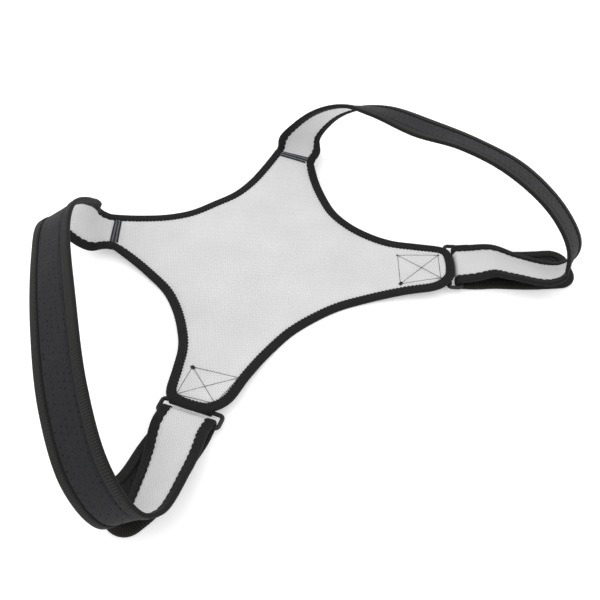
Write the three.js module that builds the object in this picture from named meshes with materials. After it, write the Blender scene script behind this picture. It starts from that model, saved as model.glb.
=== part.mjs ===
import * as THREE from "three";

// Posture corrector, laid on a table with its light mesh side up. Millimetres, +Z up, +Y towards the neck.

// Cloth
const strapWidth = 48;
const clothThickness = 2.6;
const seamedThickness = 1.4;
const tapeThickness = 1.0;
const tapeWidth = 9;
const clearance = 0.3;

// Back panel, measured up from the lower arms' tips
const neckLevel = 230;
const hemLevel = 38.5;
const waistHalfWidth = 99;
const waistLevel = 145.5;
const waistShift = -1.5;

// Upper arms, where the straps are sewn on
const seamOut = 105;
const seamLevel = 236;
const seamHeading = 31.5;
const seamLift = 8;
const seamRun = 70;
const bandLength = 7;
const bandThickness = 0.8;

// Lower arms, which hold the rings
const armOut = 140;
const armLevel = 17;
const armHeading = 36.5;
const armTipWidth = 50;
const armRun = 100;

// Rings and the webbing under the lower arms
const barRadius = 1.8;
const ringOpening = 8.4;
const ringSideRoom = 1.0;
const ringCornerRadius = 3;
const ringSlide = { left: -2, right: 4 };
const webbingThickness = 1.2;
const webbingWidth = 38;
const webbingRun = 40;

// Arm loops: how far out, how far down from the seam and how high the strap's centre line goes
const loopOut = 230;
const loopDrop = 288;
const loopHeight = 100;
const tabCornerRadius = 17;

// Greatest length and turn of one facet
const stepLength = 17;
const stepTurn = 14;
const edgeStep = 11;

// Half heights of the cloth, its sewn edges and the tape folded over them
const clothHalf = clothThickness / 2;
const seamedHalf = seamedThickness / 2;
const tapeInner = seamedHalf + clearance;
const tapeHalf = tapeInner + tapeThickness;
const coreInset = tapeThickness + clearance;
const halfStrap = strapWidth / 2;

// The strap goes round the outer bar, so the tab lies under the bar and the upper layer over it
const wrapRadius = barRadius + clearance + 0.1 + tapeHalf;
const ringLevel = tapeHalf + wrapRadius;
const barSpacing = ringOpening + 2 * barRadius;
const webbingRadius = barRadius + clearance + webbingThickness / 2;
const armLift = ringLevel + webbingRadius + webbingThickness / 2 + clearance;

// Rows from the middle of the neck edge to the seam, as shares of that stretch
const neckRows = [
  { out: 0, rise: 0 },
  { out: 0.26, rise: 0.02 },
  { out: 0.51, rise: 0.255 },
  { out: 0.76, rise: 0.62 },
];

// Rows from the seam down to the waist, as shares of that stretch
const upperSideRows = [
  { out: 0.53, rise: 0.667 },
  { out: 0.2, rise: 0.333 },
  { out: 0, rise: 0 },
];

// Rows from the waist down to the lower arm, as shares of that stretch
const lowerSideRows = [
  { out: 0.045, drop: 0.21 },
  { out: 0.19, drop: 0.443 },
  { out: 0.383, drop: 0.64 },
  { out: 0.68, drop: 0.82 },
];

// Rows round the lower arm's tip, as shares of its width, ahead along the arm and across it
const tipRows = [
  { ahead: -0.14, across: 0.46 },
  { ahead: -0.02, across: 0.37 },
  { ahead: 0.04, across: 0.18 },
  { ahead: 0.05, across: -0.09 },
  { ahead: 0.01, across: -0.32 },
  { ahead: -0.13, across: -0.5 },
  { ahead: -0.33, across: -0.62 },
];

// Rows from the lower arm back to the middle of the hem, as shares of that stretch
const hemRows = [
  { out: 0.76, drop: 0.618 },
  { out: 0.52, drop: 0.294 },
  { out: 0.26, drop: 0.059 },
  { out: 0, drop: 0 },
];

// Arm loops: shares of loopOut, loopDrop and loopHeight, then the heading and the lean in degrees of the
// line across the strap, which points to the edge that starts on the neck side
const leftLoop = [
  { out: 0.535, drop: -0.03, up: 0.19, turn: 146, lean: 6 },
  { out: 0.592, drop: -0.009, up: 0.47, turn: 181, lean: 16 },
  { out: 0.648, drop: 0.06, up: 0.74, turn: 202, lean: 26 },
  { out: 0.708, drop: 0.144, up: 0.9, turn: 204, lean: 35 },
  { out: 0.77, drop: 0.252, up: 0.94, turn: 203, lean: 39 },
  { out: 0.875, drop: 0.484, up: 0.91, turn: 203, lean: 35 },
  { out: 0.968, drop: 0.717, up: 0.8, turn: 207, lean: 35 },
  { out: 1.01, drop: 0.887, up: 0.61, turn: 210, lean: 37 },
  { out: 0.998, drop: 0.972, up: 0.41, turn: 216, lean: 38 },
  { out: 0.97, drop: 0.998, up: 0.31, turn: 219, lean: 37 },
  { out: 0.915, drop: 0.992, up: 0.23, turn: 222, lean: 34 },
  { out: 0.8, drop: 0.914, up: 0.16, turn: 224, lean: 24 },
  { out: 0.738, drop: 0.865, up: 0.135, turn: 227, lean: 15 },
];
const rightLoop = [
  { out: 0.546, drop: -0.033, up: 0.28, turn: 174, lean: 36 },
  { out: 0.628, drop: 0.009, up: 0.52, turn: 191, lean: 35 },
  { out: 0.704, drop: 0.092, up: 0.69, turn: 196, lean: 30 },
  { out: 0.761, drop: 0.196, up: 0.76, turn: 198, lean: 20 },
  { out: 0.83, drop: 0.366, up: 0.78, turn: 198, lean: 14 },
  { out: 0.9, drop: 0.533, up: 0.82, turn: 197, lean: 21 },
  { out: 0.957, drop: 0.703, up: 0.79, turn: 196, lean: 23 },
  { out: 0.99, drop: 0.87, up: 0.63, turn: 197, lean: 27 },
  { out: 0.99, drop: 0.967, up: 0.43, turn: 198, lean: 28 },
  { out: 0.973, drop: 0.991, up: 0.31, turn: 203, lean: 27 },
  { out: 0.945, drop: 0.991, up: 0.21, turn: 213, lean: 24 },
  { out: 0.897, drop: 0.968, up: 0.155, turn: 220, lean: 19 },
  { out: 0.812, drop: 0.878, up: 0.135, turn: 223, lean: 15 },
  { out: 0.756, drop: 0.822, up: 0.145, turn: 228, lean: 8 },
];

// Free tabs on the table, shares of loopOut and loopDrop, the last row at the tip
const leftTab = [
  { out: 0.76, drop: 0.845 },
  { out: 0.88, drop: 0.9 },
  { out: 1.03, drop: 0.922 },
];
const rightTab = [
  { out: 0.76, drop: 0.825 },
  { out: 0.88, drop: 0.893 },
  { out: 1.045, drop: 0.968 },
];

const radians = THREE.MathUtils.degToRad;
const v2 = (x, y) => new THREE.Vector2(x, y);
const v3 = (x, y, z) => new THREE.Vector3(x, y, z);
const heading = (degrees) => v2(Math.cos(radians(degrees)), Math.sin(radians(degrees)));
const mix = (a, b, share) => a + (b - a) * share;

const meshCloth = new THREE.MeshStandardMaterial({ color: 0xdcdcde, roughness: 0.9, metalness: 0 });
const strapCloth = new THREE.MeshStandardMaterial({ color: 0x303032, roughness: 0.9, metalness: 0 });
const tape = new THREE.MeshStandardMaterial({ color: 0x262626, roughness: 0.85, metalness: 0 });
const band = new THREE.MeshStandardMaterial({ color: 0x2b2e35, roughness: 0.8, metalness: 0 });
const plastic = new THREE.MeshStandardMaterial({ color: 0x46464a, roughness: 0.35, metalness: 0 });
const webbing = new THREE.MeshStandardMaterial({ color: 0x1f1f20, roughness: 0.85, metalness: 0 });

const root = new THREE.Group();
root.name = "posture_corrector";

// Adds a solid from its points and triangles; side -1 is the left-hand copy
function addSolid(name, points, faces, material, side) {
  const flat = points.flatMap((p) => [p.x * side, p.y, p.z]);
  let volume = 0;
  for (const [a, b, c] of faces) {
    volume += points[a].dot(points[b].clone().cross(points[c]));
  }
  const outward = volume * side > 0;
  const index = faces.flatMap(([a, b, c]) => (outward ? [a, b, c] : [a, c, b]));
  const geometry = new THREE.BufferGeometry();
  geometry.setAttribute("position", new THREE.Float32BufferAttribute(flat, 3));
  geometry.setIndex(index);
  geometry.computeVertexNormals();
  const mesh = new THREE.Mesh(geometry, material);
  mesh.name = name;
  root.add(mesh);
}

// A skin over a row of sections with the same number of points, its two ends filled by the section's triangles
function loft(sections, closed, endTriangles) {
  const size = sections[0].length;
  const points = sections.flat();
  const faces = [];
  const last = closed ? sections.length : sections.length - 1;
  for (let i = 0; i < last; i++) {
    const a = i * size;
    const b = ((i + 1) % sections.length) * size;
    for (let j = 0; j < size; j++) {
      const k = (j + 1) % size;
      faces.push([a + j, b + j, b + k]);
      faces.push([a + j, b + k, a + k]);
    }
  }
  if (!closed) {
    const end = points.length - size;
    for (const [a, b, c] of endTriangles) {
      faces.push([a, b, c]);
      faces.push([end + a, end + c, end + b]);
    }
  }
  return { points, faces };
}

const sectionTriangles = (section) => {
  const contour = section.map(([across, high]) => v2(across, high));
  const triangles = THREE.ShapeUtils.triangulateShape(contour, []);
  return THREE.ShapeUtils.area(contour) > 0 ? triangles : triangles.map(([a, b, c]) => [a, c, b]);
};

// Section of the tape folded over an edge: distance in from the edge and height
const tapeSection = [
  [tapeWidth, tapeHalf],
  [0, tapeHalf],
  [0, -tapeHalf],
  [tapeWidth, -tapeHalf],
  [tapeWidth, -tapeInner],
  [tapeThickness, -tapeInner],
  [tapeThickness, tapeInner],
  [tapeWidth, tapeInner],
];
const tapeEnds = sectionTriangles(tapeSection);

// The upper seam and the lower arm of the right-hand side
const seamAlong = heading(seamHeading);
const seamAcross = v2(-seamAlong.y, seamAlong.x);
const seamMiddle = v2(seamOut, seamLevel);
const seamNeckEnd = seamMiddle.clone().addScaledVector(seamAcross, halfStrap);
const seamSideEnd = seamMiddle.clone().addScaledVector(seamAcross, -halfStrap);
const armAlong = heading(-armHeading);
const armAcross = v2(-armAlong.y, armAlong.x);
const armTip = v2(armOut, armLevel);

// Height of the panel's middle surface above the table
function panelHeight(x, y) {
  const here = v2(Math.abs(x), y);
  const upper = here.clone().sub(seamMiddle).dot(seamAlong) / seamRun + 1;
  const lower = here.clone().sub(armTip).dot(armAlong) / armRun + 1;
  const u = THREE.MathUtils.clamp(upper, 0, 1.2);
  return tapeHalf + seamLift * u * u + armLift * THREE.MathUtils.smoothstep(lower, 0, 1);
}

const tipPoints = tipRows.map((row) =>
  armTip
    .clone()
    .addScaledVector(armAlong, row.ahead * armTipWidth)
    .addScaledVector(armAcross, row.across * armTipWidth),
);
const tipFirst = tipPoints[0];
const tipLast = tipPoints[tipPoints.length - 1];

// Right half of each edge, starting at the seam
const neckHalf = [seamNeckEnd];
for (const row of [...neckRows].reverse()) {
  neckHalf.push(v2(row.out * seamNeckEnd.x, mix(neckLevel, seamNeckEnd.y, row.rise)));
}
const lowerHalf = [seamSideEnd];
for (const row of upperSideRows) {
  const out = mix(waistHalfWidth, seamSideEnd.x, row.out);
  lowerHalf.push(v2(out, mix(waistLevel, seamSideEnd.y, row.rise)));
}
for (const row of lowerSideRows) {
  const out = mix(waistHalfWidth, tipFirst.x, row.out);
  lowerHalf.push(v2(out, mix(waistLevel, tipFirst.y, row.drop)));
}
lowerHalf.push(...tipPoints);
for (const row of hemRows) {
  lowerHalf.push(v2(row.out * tipLast.x, mix(hemLevel, tipLast.y, row.drop)));
}

// The panel lies a little skewed: its waist is shifted sideways, its arms are not
function lieSkewed(p) {
  const reach = p.y > waistLevel ? seamSideEnd.y : armLevel;
  const share = (p.y - waistLevel) / (reach - waistLevel);
  return v2(p.x + waistShift * Math.max(1 - share * share, 0), p.y);
}

// A whole edge from the right seam to the left one, with the direction inwards at each point
function edgeOf(half) {
  const mirrored = half.slice(0, -1).reverse();
  const all = [...half, ...mirrored.map((p) => v2(-p.x, p.y))].map(lieSkewed);
  const curve = new THREE.CatmullRomCurve3(all.map((p) => v3(p.x, p.y, 0)), false, "centripetal");
  const count = 2 * Math.round(curve.getLength() / edgeStep / 2);
  curve.arcLengthDivisions = 1200;
  curve.updateArcLengths();
  const points = curve.getSpacedPoints(count).map((p) => v2(p.x, p.y));
  return points.map((p, i) => {
    const before = points[Math.max(i - 1, 0)];
    const after = points[Math.min(i + 1, count)];
    const along = after.clone().sub(before).normalize();
    return { at: p, along };
  });
}

const neckEdge = edgeOf(neckHalf);
const lowerEdge = edgeOf(lowerHalf);
for (const station of neckEdge) {
  station.inward = v2(-station.along.y, station.along.x);
}
for (const station of lowerEdge) {
  station.inward = v2(station.along.y, -station.along.x);
}
const mirror2 = (p) => v2(-p.x, p.y);
neckEdge[0].inward = seamAcross.clone().negate();
neckEdge[neckEdge.length - 1].inward = mirror2(seamAcross.clone().negate());
lowerEdge[0].inward = seamAcross.clone();
lowerEdge[lowerEdge.length - 1].inward = mirror2(seamAcross);

// Tape round the panel, held back a little from the seams
function addPanelTape(name, edge) {
  const last = edge.length - 1;
  const sections = edge.map((station, i) => {
    const hold = v2(0, 0);
    if (i === 0) hold.copy(seamAlong).multiplyScalar(-clearance / 2);
    if (i === last) hold.copy(mirror2(seamAlong)).multiplyScalar(-clearance / 2);
    return tapeSection.map(([inwards, high]) => {
      const p = station.at.clone().addScaledVector(station.inward, inwards).add(hold);
      return v3(p.x, p.y, panelHeight(p.x, p.y) + high);
    });
  });
  const { points, faces } = loft(sections, false, tapeEnds);
  addSolid(name, points, faces, tape, 1);
}
addPanelTape("panel_binding_neck", neckEdge);
addPanelTape("panel_binding_lower", lowerEdge);

// Back panel: rings of points from the sewn edge to the middle
const seamFlat = bandLength / 2 + 1.5;
const panelRings = [
  { inset: coreInset, back: clearance / 2, half: seamedHalf },
  { inset: tapeWidth + 0.8, back: seamFlat, half: seamedHalf },
  { inset: tapeWidth + 2.3, back: seamFlat + 1.5, half: clothHalf },
];
const innerShares = [0.74, 0.42];
const seamCount = 5;

function ringOfPoints({ inset, back }) {
  const shifted = (edge) => {
    const points = edge.map((s) => s.at.clone().addScaledVector(s.inward, inset));
    points[0].addScaledVector(seamAlong, -back);
    points[points.length - 1].addScaledVector(mirror2(seamAlong), -back);
    return points;
  };
  const neck = shifted(neckEdge);
  const lower = shifted(lowerEdge);
  const seam = (from, to) =>
    Array.from({ length: seamCount - 1 }, (_, i) => from.clone().lerp(to, (i + 1) / seamCount));
  const neckStart = neck[0];
  const neckEnd = neck[neck.length - 1];
  const lowerEnd = lower[lower.length - 1];
  return [...neck, ...seam(neckEnd, lowerEnd), ...[...lower].reverse(), ...seam(lower[0], neckStart)];
}

const middle = v2(0, (waistLevel + hemLevel) / 2 + 35);
const outlines = panelRings.map((ring) => ({ plan: ringOfPoints(ring), half: ring.half }));
for (const share of innerShares) {
  const plan = outlines[2].plan.map((p) => middle.clone().lerp(p, share));
  outlines.push({ plan, half: clothHalf });
}
const around = outlines[0].plan.length;
const panelPoints = [];
for (const sign of [1, -1]) {
  for (const { plan, half } of outlines) {
    for (const p of plan) {
      panelPoints.push(v3(p.x, p.y, panelHeight(p.x, p.y) + sign * half));
    }
  }
  panelPoints.push(v3(middle.x, middle.y, panelHeight(middle.x, middle.y) + sign * clothHalf));
}
const layerSize = outlines.length * around + 1;
const panelFaces = [];
for (const layer of [0, 1]) {
  const start = layer * layerSize;
  const add = (a, b, c) => panelFaces.push(layer ? [a, c, b] : [a, b, c]);
  for (let j = 0; j < around; j++) {
    const k = (j + 1) % around;
    for (let i = 0; i < outlines.length - 1; i++) {
      const a = start + i * around;
      const b = a + around;
      add(a + j, b + j, b + k);
      add(a + j, b + k, a + k);
    }
    const inner = start + (outlines.length - 1) * around;
    add(inner + j, start + layerSize - 1, inner + k);
  }
}
for (let j = 0; j < around; j++) {
  const k = (j + 1) % around;
  panelFaces.push([j, k, layerSize + k]);
  panelFaces.push([j, layerSize + k, layerSize + j]);
}
addSolid("back_panel", panelPoints, panelFaces, meshCloth, 1);

// Outer bar of the right-hand ring
const barAhead = wrapRadius + tapeHalf + 2;
const outerBarOf = (slide) =>
  armTip.clone().addScaledVector(armAlong, barAhead).addScaledVector(armAcross, slide);
const armAlong3 = v3(armAlong.x, armAlong.y, 0);
const armAcross3 = v3(armAcross.x, armAcross.y, 0);
const upwards = v3(0, 0, 1);

// Frames along a strap: its middle, the line across it and the way its light side faces
function strapFrames(outerBar, loopRows, tabRows) {
  const slope = (2 * seamLift) / seamRun;
  const start = v3(seamMiddle.x, seamMiddle.y, panelHeight(seamMiddle.x, seamMiddle.y));
  const away = v3(seamAlong.x, seamAlong.y, slope).normalize();
  const stations = [
    { at: start.clone().addScaledVector(away, clearance / 2 + tapeHalf * slope), turn: seamHeading + 90, lean: 0 },
    { at: start.clone().addScaledVector(away, 9), turn: seamHeading + 90, lean: 0 },
  ];
  for (const row of loopRows) {
    const at = v3(row.out * loopOut, seamLevel - row.drop * loopDrop, row.up * loopHeight);
    stations.push({ at, turn: row.turn, lean: row.lean });
  }
  const over = v3(outerBar.x, outerBar.y, ringLevel + wrapRadius);
  const before = over.clone().addScaledVector(armAlong3, 11).addScaledVector(upwards, 2);
  stations.push({ at: before, turn: 270 - armHeading, lean: 2 });
  stations.push({ at: over, turn: 270 - armHeading, lean: 0 });

  const path = new THREE.CatmullRomCurve3(stations.map((s) => s.at), false, "centripetal");
  const angles = new THREE.CatmullRomCurve3(stations.map((s) => v3(s.turn, s.lean, 0)), false, "catmullrom");
  const frames = [];
  const fine = 40 * (stations.length - 1);
  for (let i = 0; i <= fine; i++) {
    const t = i / fine;
    const along = path.getTangent(t);
    const { x: turn, y: lean } = angles.getPoint(t);
    const flat = heading(turn).multiplyScalar(Math.cos(radians(lean)));
    const across = v3(flat.x, flat.y, Math.sin(radians(lean)));
    across.addScaledVector(along, -across.dot(along)).normalize();
    frames.push({ at: path.getPoint(t), across, up: along.clone().cross(across) });
  }

  // Round the outer bar
  const wrapSteps = 60;
  const barCentre = v3(outerBar.x, outerBar.y, ringLevel);
  for (let i = 1; i <= wrapSteps; i++) {
    const angle = (Math.PI * i) / wrapSteps;
    const up = upwards.clone().multiplyScalar(Math.cos(angle)).addScaledVector(armAlong3, -Math.sin(angle));
    const at = barCentre.clone().addScaledVector(up, wrapRadius);
    frames.push({ at, across: armAcross3.clone().negate(), up });
  }

  // The tab on the table, light side down
  const under = v3(outerBar.x, outerBar.y, tapeHalf);
  const tabPoints = [under, under.clone().addScaledVector(armAlong3, 12)];
  for (const row of tabRows) {
    tabPoints.push(v3(row.out * loopOut, seamLevel - row.drop * loopDrop, tapeHalf));
  }
  const tabPath = new THREE.CatmullRomCurve3(tabPoints, false, "centripetal");
  const tabFine = 120;
  for (let i = 1; i <= tabFine; i++) {
    const along = tabPath.getTangent(i / tabFine);
    frames.push({ at: tabPath.getPoint(i / tabFine), across: v3(along.y, -along.x, 0), up: v3(0, 0, -1) });
  }

  let length = 0;
  frames.forEach((frame, i) => {
    if (i) length += frame.at.distanceTo(frames[i - 1].at);
    frame.length = length;
  });
  return frames;
}

// The frame at any length along a strap
function frameAt(frames, length) {
  let i = frames.findIndex((frame) => frame.length >= length);
  if (i < 0) i = frames.length - 1;
  if (i === 0) return frames[0];
  const a = frames[i - 1];
  const b = frames[i];
  const share = Math.min((length - a.length) / (b.length - a.length), 1);
  return {
    at: a.at.clone().lerp(b.at, share),
    across: a.across.clone().lerp(b.across, share).normalize(),
    up: a.up.clone().lerp(b.up, share).normalize(),
  };
}

const pointOn = (frame, across, high) =>
  frame.at.clone().addScaledVector(frame.across, across).addScaledVector(frame.up, high);

// Lengths at which a strap is cut into facets, closer together where it bends
function facetLengths(frames, straightEnd) {
  const bendStart = seamFlat + 1.5;
  const lengths = [0, seamFlat, bendStart];
  let spent = 0;
  let previous = frames[0];
  for (const frame of frames) {
    if (frame.length > bendStart) {
      const turned = THREE.MathUtils.radToDeg(frame.up.angleTo(previous.up));
      spent += (frame.length - previous.length) / stepLength + turned / stepTurn;
    }
    if (spent >= 1 && frame.length < straightEnd - 4) {
      lengths.push(frame.length);
      spent = 0;
    }
    previous = frame;
  }
  lengths.push(straightEnd);
  return lengths;
}

function addStrap(word, side, loopRows, tabRows) {
  const frames = strapFrames(outerBarOf(ringSlide[word]), loopRows, tabRows);
  const end = frames[frames.length - 1].length;
  const roundStart = end - tabCornerRadius;
  const lengths = facetLengths(frames, roundStart);

  // The cloth, thinner under the tape, at its seam and at its tip
  const coreSection = (length, half, edge) => {
    const frame = frameAt(frames, length);
    const ahead = Math.max(length - roundStart, 0);
    const inside = tabCornerRadius - tapeWidth - 0.8;
    const shoulder = halfStrap - tabCornerRadius + Math.sqrt(Math.max(inside * inside - ahead * ahead, 4));
    const flat = shoulder - 1.5;
    const profile = [
      [-edge, -seamedHalf],
      [-shoulder, -seamedHalf],
      [-flat, -half],
      [flat, -half],
      [shoulder, -seamedHalf],
      [edge, -seamedHalf],
      [edge, seamedHalf],
      [shoulder, seamedHalf],
      [flat, half],
      [-flat, half],
      [-shoulder, seamedHalf],
      [-edge, seamedHalf],
    ];
    return { profile, points: profile.map(([across, high]) => pointOn(frame, across, high)) };
  };
  const coreEdge = halfStrap - coreInset;
  const cores = lengths.map((length) =>
    coreSection(length, length < seamFlat + 1 ? seamedHalf + 0.001 : clothHalf, coreEdge),
  );
  const cornerReach = tabCornerRadius - coreInset;
  const thickEnd = end - tapeWidth - 2.3;
  const tipLengths = [
    { length: thickEnd, half: clothHalf },
    { length: thickEnd + 1.5, half: seamedHalf + 0.001 },
  ];
  for (const angle of [50, 70, 90]) {
    tipLengths.push({ length: roundStart + cornerReach * Math.sin(radians(angle)), half: seamedHalf + 0.001 });
  }
  for (const { length, half } of tipLengths) {
    const ahead = Math.min((length - roundStart) / cornerReach, 1);
    const edge = halfStrap - tabCornerRadius + cornerReach * Math.sqrt(1 - ahead * ahead);
    cores.push(coreSection(length, half, edge));
  }
  const core = loft(
    cores.map((section) => section.points),
    false,
    sectionTriangles(cores[3].profile),
  );
  addSolid("strap_" + word, core.points, core.faces, strapCloth, side);

  // The tape: down one edge, round the tab's tip and back up the other edge
  const stations = lengths.map((length) => ({ length, across: halfStrap, inLength: 0, inAcross: -1 }));
  for (const angle of [18, 36, 54, 72, 90]) {
    const a = radians(angle);
    stations.push({
      length: roundStart + tabCornerRadius * Math.sin(a),
      across: halfStrap - tabCornerRadius + tabCornerRadius * Math.cos(a),
      inLength: -Math.sin(a),
      inAcross: -Math.cos(a),
    });
  }
  const back = [...stations].reverse();
  for (const s of back) {
    stations.push({ ...s, across: -s.across, inAcross: -s.inAcross });
  }
  const sections = stations.map((s) =>
    tapeSection.map(([inwards, high]) => {
      const frame = frameAt(frames, s.length + s.inLength * inwards);
      return pointOn(frame, s.across + s.inAcross * inwards, high);
    }),
  );
  const binding = loft(sections, false, tapeEnds);
  addSolid("strap_binding_" + word, binding.points, binding.faces, tape, side);

  // The band sewn across the seam, in the hollow between the two tapes
  const first = frames[0];
  const along = first.across.clone().cross(first.up);
  const bandHalfWidth = halfStrap - tapeWidth - 1;
  const bandSections = [-bandLength / 2, bandLength / 2].map((length) =>
    [
      [-bandHalfWidth, tapeInner],
      [bandHalfWidth, tapeInner],
      [bandHalfWidth, tapeInner + bandThickness],
      [-bandHalfWidth, tapeInner + bandThickness],
    ].map(([across, high]) => pointOn(first, across, high).addScaledVector(along, length)),
  );
  const bandEnds = [
    [0, 1, 2],
    [0, 2, 3],
  ];
  const strip = loft(bandSections, false, bandEnds);
  addSolid("seam_band_" + word, strip.points, strip.faces, band, side);
}
addStrap("left", -1, leftLoop, leftTab);
addStrap("right", 1, rightLoop, rightTab);

// Rings: a round bar bent to a rectangle that lies level
function addRing(word, side) {
  const centre = outerBarOf(ringSlide[word]).addScaledVector(armAlong, -barSpacing / 2);
  const halfAlong = barSpacing / 2;
  const halfAcross = halfStrap + ringSideRoom + barRadius;
  const path = [];
  for (let corner = 0; corner < 4; corner++) {
    const signAlong = corner === 0 || corner === 3 ? 1 : -1;
    const signAcross = corner < 2 ? 1 : -1;
    for (let i = 0; i < 4; i++) {
      const angle = Math.PI * 0.5 * (corner + i / 3);
      const along = signAlong * (halfAlong - ringCornerRadius) + ringCornerRadius * Math.cos(angle);
      const across = signAcross * (halfAcross - ringCornerRadius) + ringCornerRadius * Math.sin(angle);
      path.push({ along, across, angle });
    }
  }
  const sections = path.map(({ along, across, angle }) => {
    const at = v3(centre.x, centre.y, ringLevel)
      .addScaledVector(armAlong3, along)
      .addScaledVector(armAcross3, across);
    const outwards = armAlong3.clone().multiplyScalar(Math.cos(angle));
    outwards.addScaledVector(armAcross3, Math.sin(angle));
    return Array.from({ length: 10 }, (_, j) => {
      const a = (2 * Math.PI * (j + 0.5)) / 10;
      const point = at.clone().addScaledVector(outwards, barRadius * Math.cos(a));
      return point.addScaledVector(upwards, barRadius * Math.sin(a));
    });
  });
  const { points, faces } = loft(sections, true, []);
  addSolid("ring_" + word, points, faces, plastic, side);
}

// Webbing folded round the inner bar, both layers under the lower arm
function addWebbing(word, side) {
  const innerBar = outerBarOf(0).addScaledVector(armAlong, -barSpacing);
  const topAt = (along) => {
    const p = innerBar.clone().addScaledVector(armAlong, along);
    return panelHeight(p.x, p.y) - tapeHalf - clearance - webbingThickness / 2;
  };
  const path = [];
  for (const share of [1, 0.75, 0.5, 0.28]) {
    const along = -share * webbingRun;
    path.push([along, topAt(along)]);
  }
  for (let i = 0; i <= 8; i++) {
    const angle = (Math.PI * i) / 8;
    path.push([webbingRadius * Math.sin(angle), ringLevel + webbingRadius * Math.cos(angle)]);
  }
  for (const share of [0.4, 0.6, 0.8, 1]) {
    const along = -share * webbingRun;
    path.push([along, topAt(along) - webbingThickness - clearance]);
  }
  const offset = (distance) =>
    path.map(([along, high], i) => {
      const [a0, h0] = path[Math.max(i - 1, 0)];
      const [a1, h1] = path[Math.min(i + 1, path.length - 1)];
      const way = v2(a1 - a0, h1 - h0).normalize();
      return [along - way.y * distance, high + way.x * distance];
    });
  const outer = offset(webbingThickness / 2);
  const inner = offset(-webbingThickness / 2);
  const profile = [...outer, ...inner.reverse()];
  const sections = [-1, 1].map((sign) =>
    profile.map(([along, high]) => {
      const p = innerBar.clone().addScaledVector(armAlong, along);
      p.addScaledVector(armAcross, (sign * webbingWidth) / 2);
      return v3(p.x, p.y, high);
    }),
  );
  const { points, faces } = loft(sections, false, sectionTriangles(profile));
  addSolid("ring_webbing_" + word, points, faces, webbing, side);
}
for (const [word, side] of [["left", -1], ["right", 1]]) {
  addRing(word, side);
  addWebbing(word, side);
}

// The origin is the middle of the footprint on the table
const extent = new THREE.Box3().setFromObject(root);
const centre = extent.getCenter(v3(0, 0, 0));
root.position.set(-centre.x, -centre.y, -extent.min.z);
root.updateMatrixWorld(true);

export default root;
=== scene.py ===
import math

import bpy
import numpy as np
from mathutils import Matrix, Vector
from mathutils.geometry import delaunay_2d_cdt
from mathutils.kdtree import KDTree


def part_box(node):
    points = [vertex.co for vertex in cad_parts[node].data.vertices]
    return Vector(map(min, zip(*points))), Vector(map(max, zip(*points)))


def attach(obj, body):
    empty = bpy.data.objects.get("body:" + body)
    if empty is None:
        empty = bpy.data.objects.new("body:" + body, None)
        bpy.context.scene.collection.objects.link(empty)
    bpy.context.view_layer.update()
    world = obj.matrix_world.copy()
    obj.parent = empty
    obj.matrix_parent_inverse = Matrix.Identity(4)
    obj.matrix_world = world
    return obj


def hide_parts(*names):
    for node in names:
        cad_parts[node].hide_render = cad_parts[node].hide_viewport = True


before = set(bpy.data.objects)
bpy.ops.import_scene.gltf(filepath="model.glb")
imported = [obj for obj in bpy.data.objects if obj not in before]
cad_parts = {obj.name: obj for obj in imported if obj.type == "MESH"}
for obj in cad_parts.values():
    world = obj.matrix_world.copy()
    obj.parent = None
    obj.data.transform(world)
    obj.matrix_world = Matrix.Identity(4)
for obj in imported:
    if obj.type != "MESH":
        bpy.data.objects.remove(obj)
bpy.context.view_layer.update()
print("stage: frame loaded,", len(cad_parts), "solids")

# Sizes shared with the part's source, in millimetres and degrees
cloth = dict(halfWidth=24, half=1.3, sewnHalf=0.7, coreInset=1.3, tapeWidth=9, tapeHalf=2.0)
panel = dict(neckLevel=230, hemLevel=38.5, waistHalfWidth=99, waistLevel=145.5, waistShift=-1.5)
seam = dict(out=105, level=236, heading=31.5, lift=8, run=70)
arm = dict(out=140, level=17, heading=36.5, tipWidth=50, run=100, lift=9.8)
bar = dict(radius=1.8, wrapRadius=4.2, level=6.2, spacing=12, ahead=8.2, corner=3, sideRoom=1.0)
barSlide = {"left": -2, "right": 4}
loop = dict(out=230, drop=288, height=100, tabCorner=17)

# out, rise from the middle of the neck edge to the seam
neckRows = [(0, 0), (0.26, 0.02), (0.51, 0.255), (0.76, 0.62)]
# out, rise from the seam to the waist
upperSideRows = [(0.53, 0.667), (0.2, 0.333), (0, 0)]
# out, drop from the waist to the lower arm
lowerSideRows = [(0.045, 0.21), (0.19, 0.443), (0.383, 0.64), (0.68, 0.82)]
# ahead, across round the lower arm's tip
tipRows = [
    (-0.14, 0.46), (-0.02, 0.37), (0.04, 0.18), (0.05, -0.09), (0.01, -0.32), (-0.13, -0.5),
    (-0.33, -0.62),
]
# out, drop from the lower arm to the middle of the hem
hemRows = [(0.76, 0.618), (0.52, 0.294), (0.26, 0.059), (0, 0)]
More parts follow.
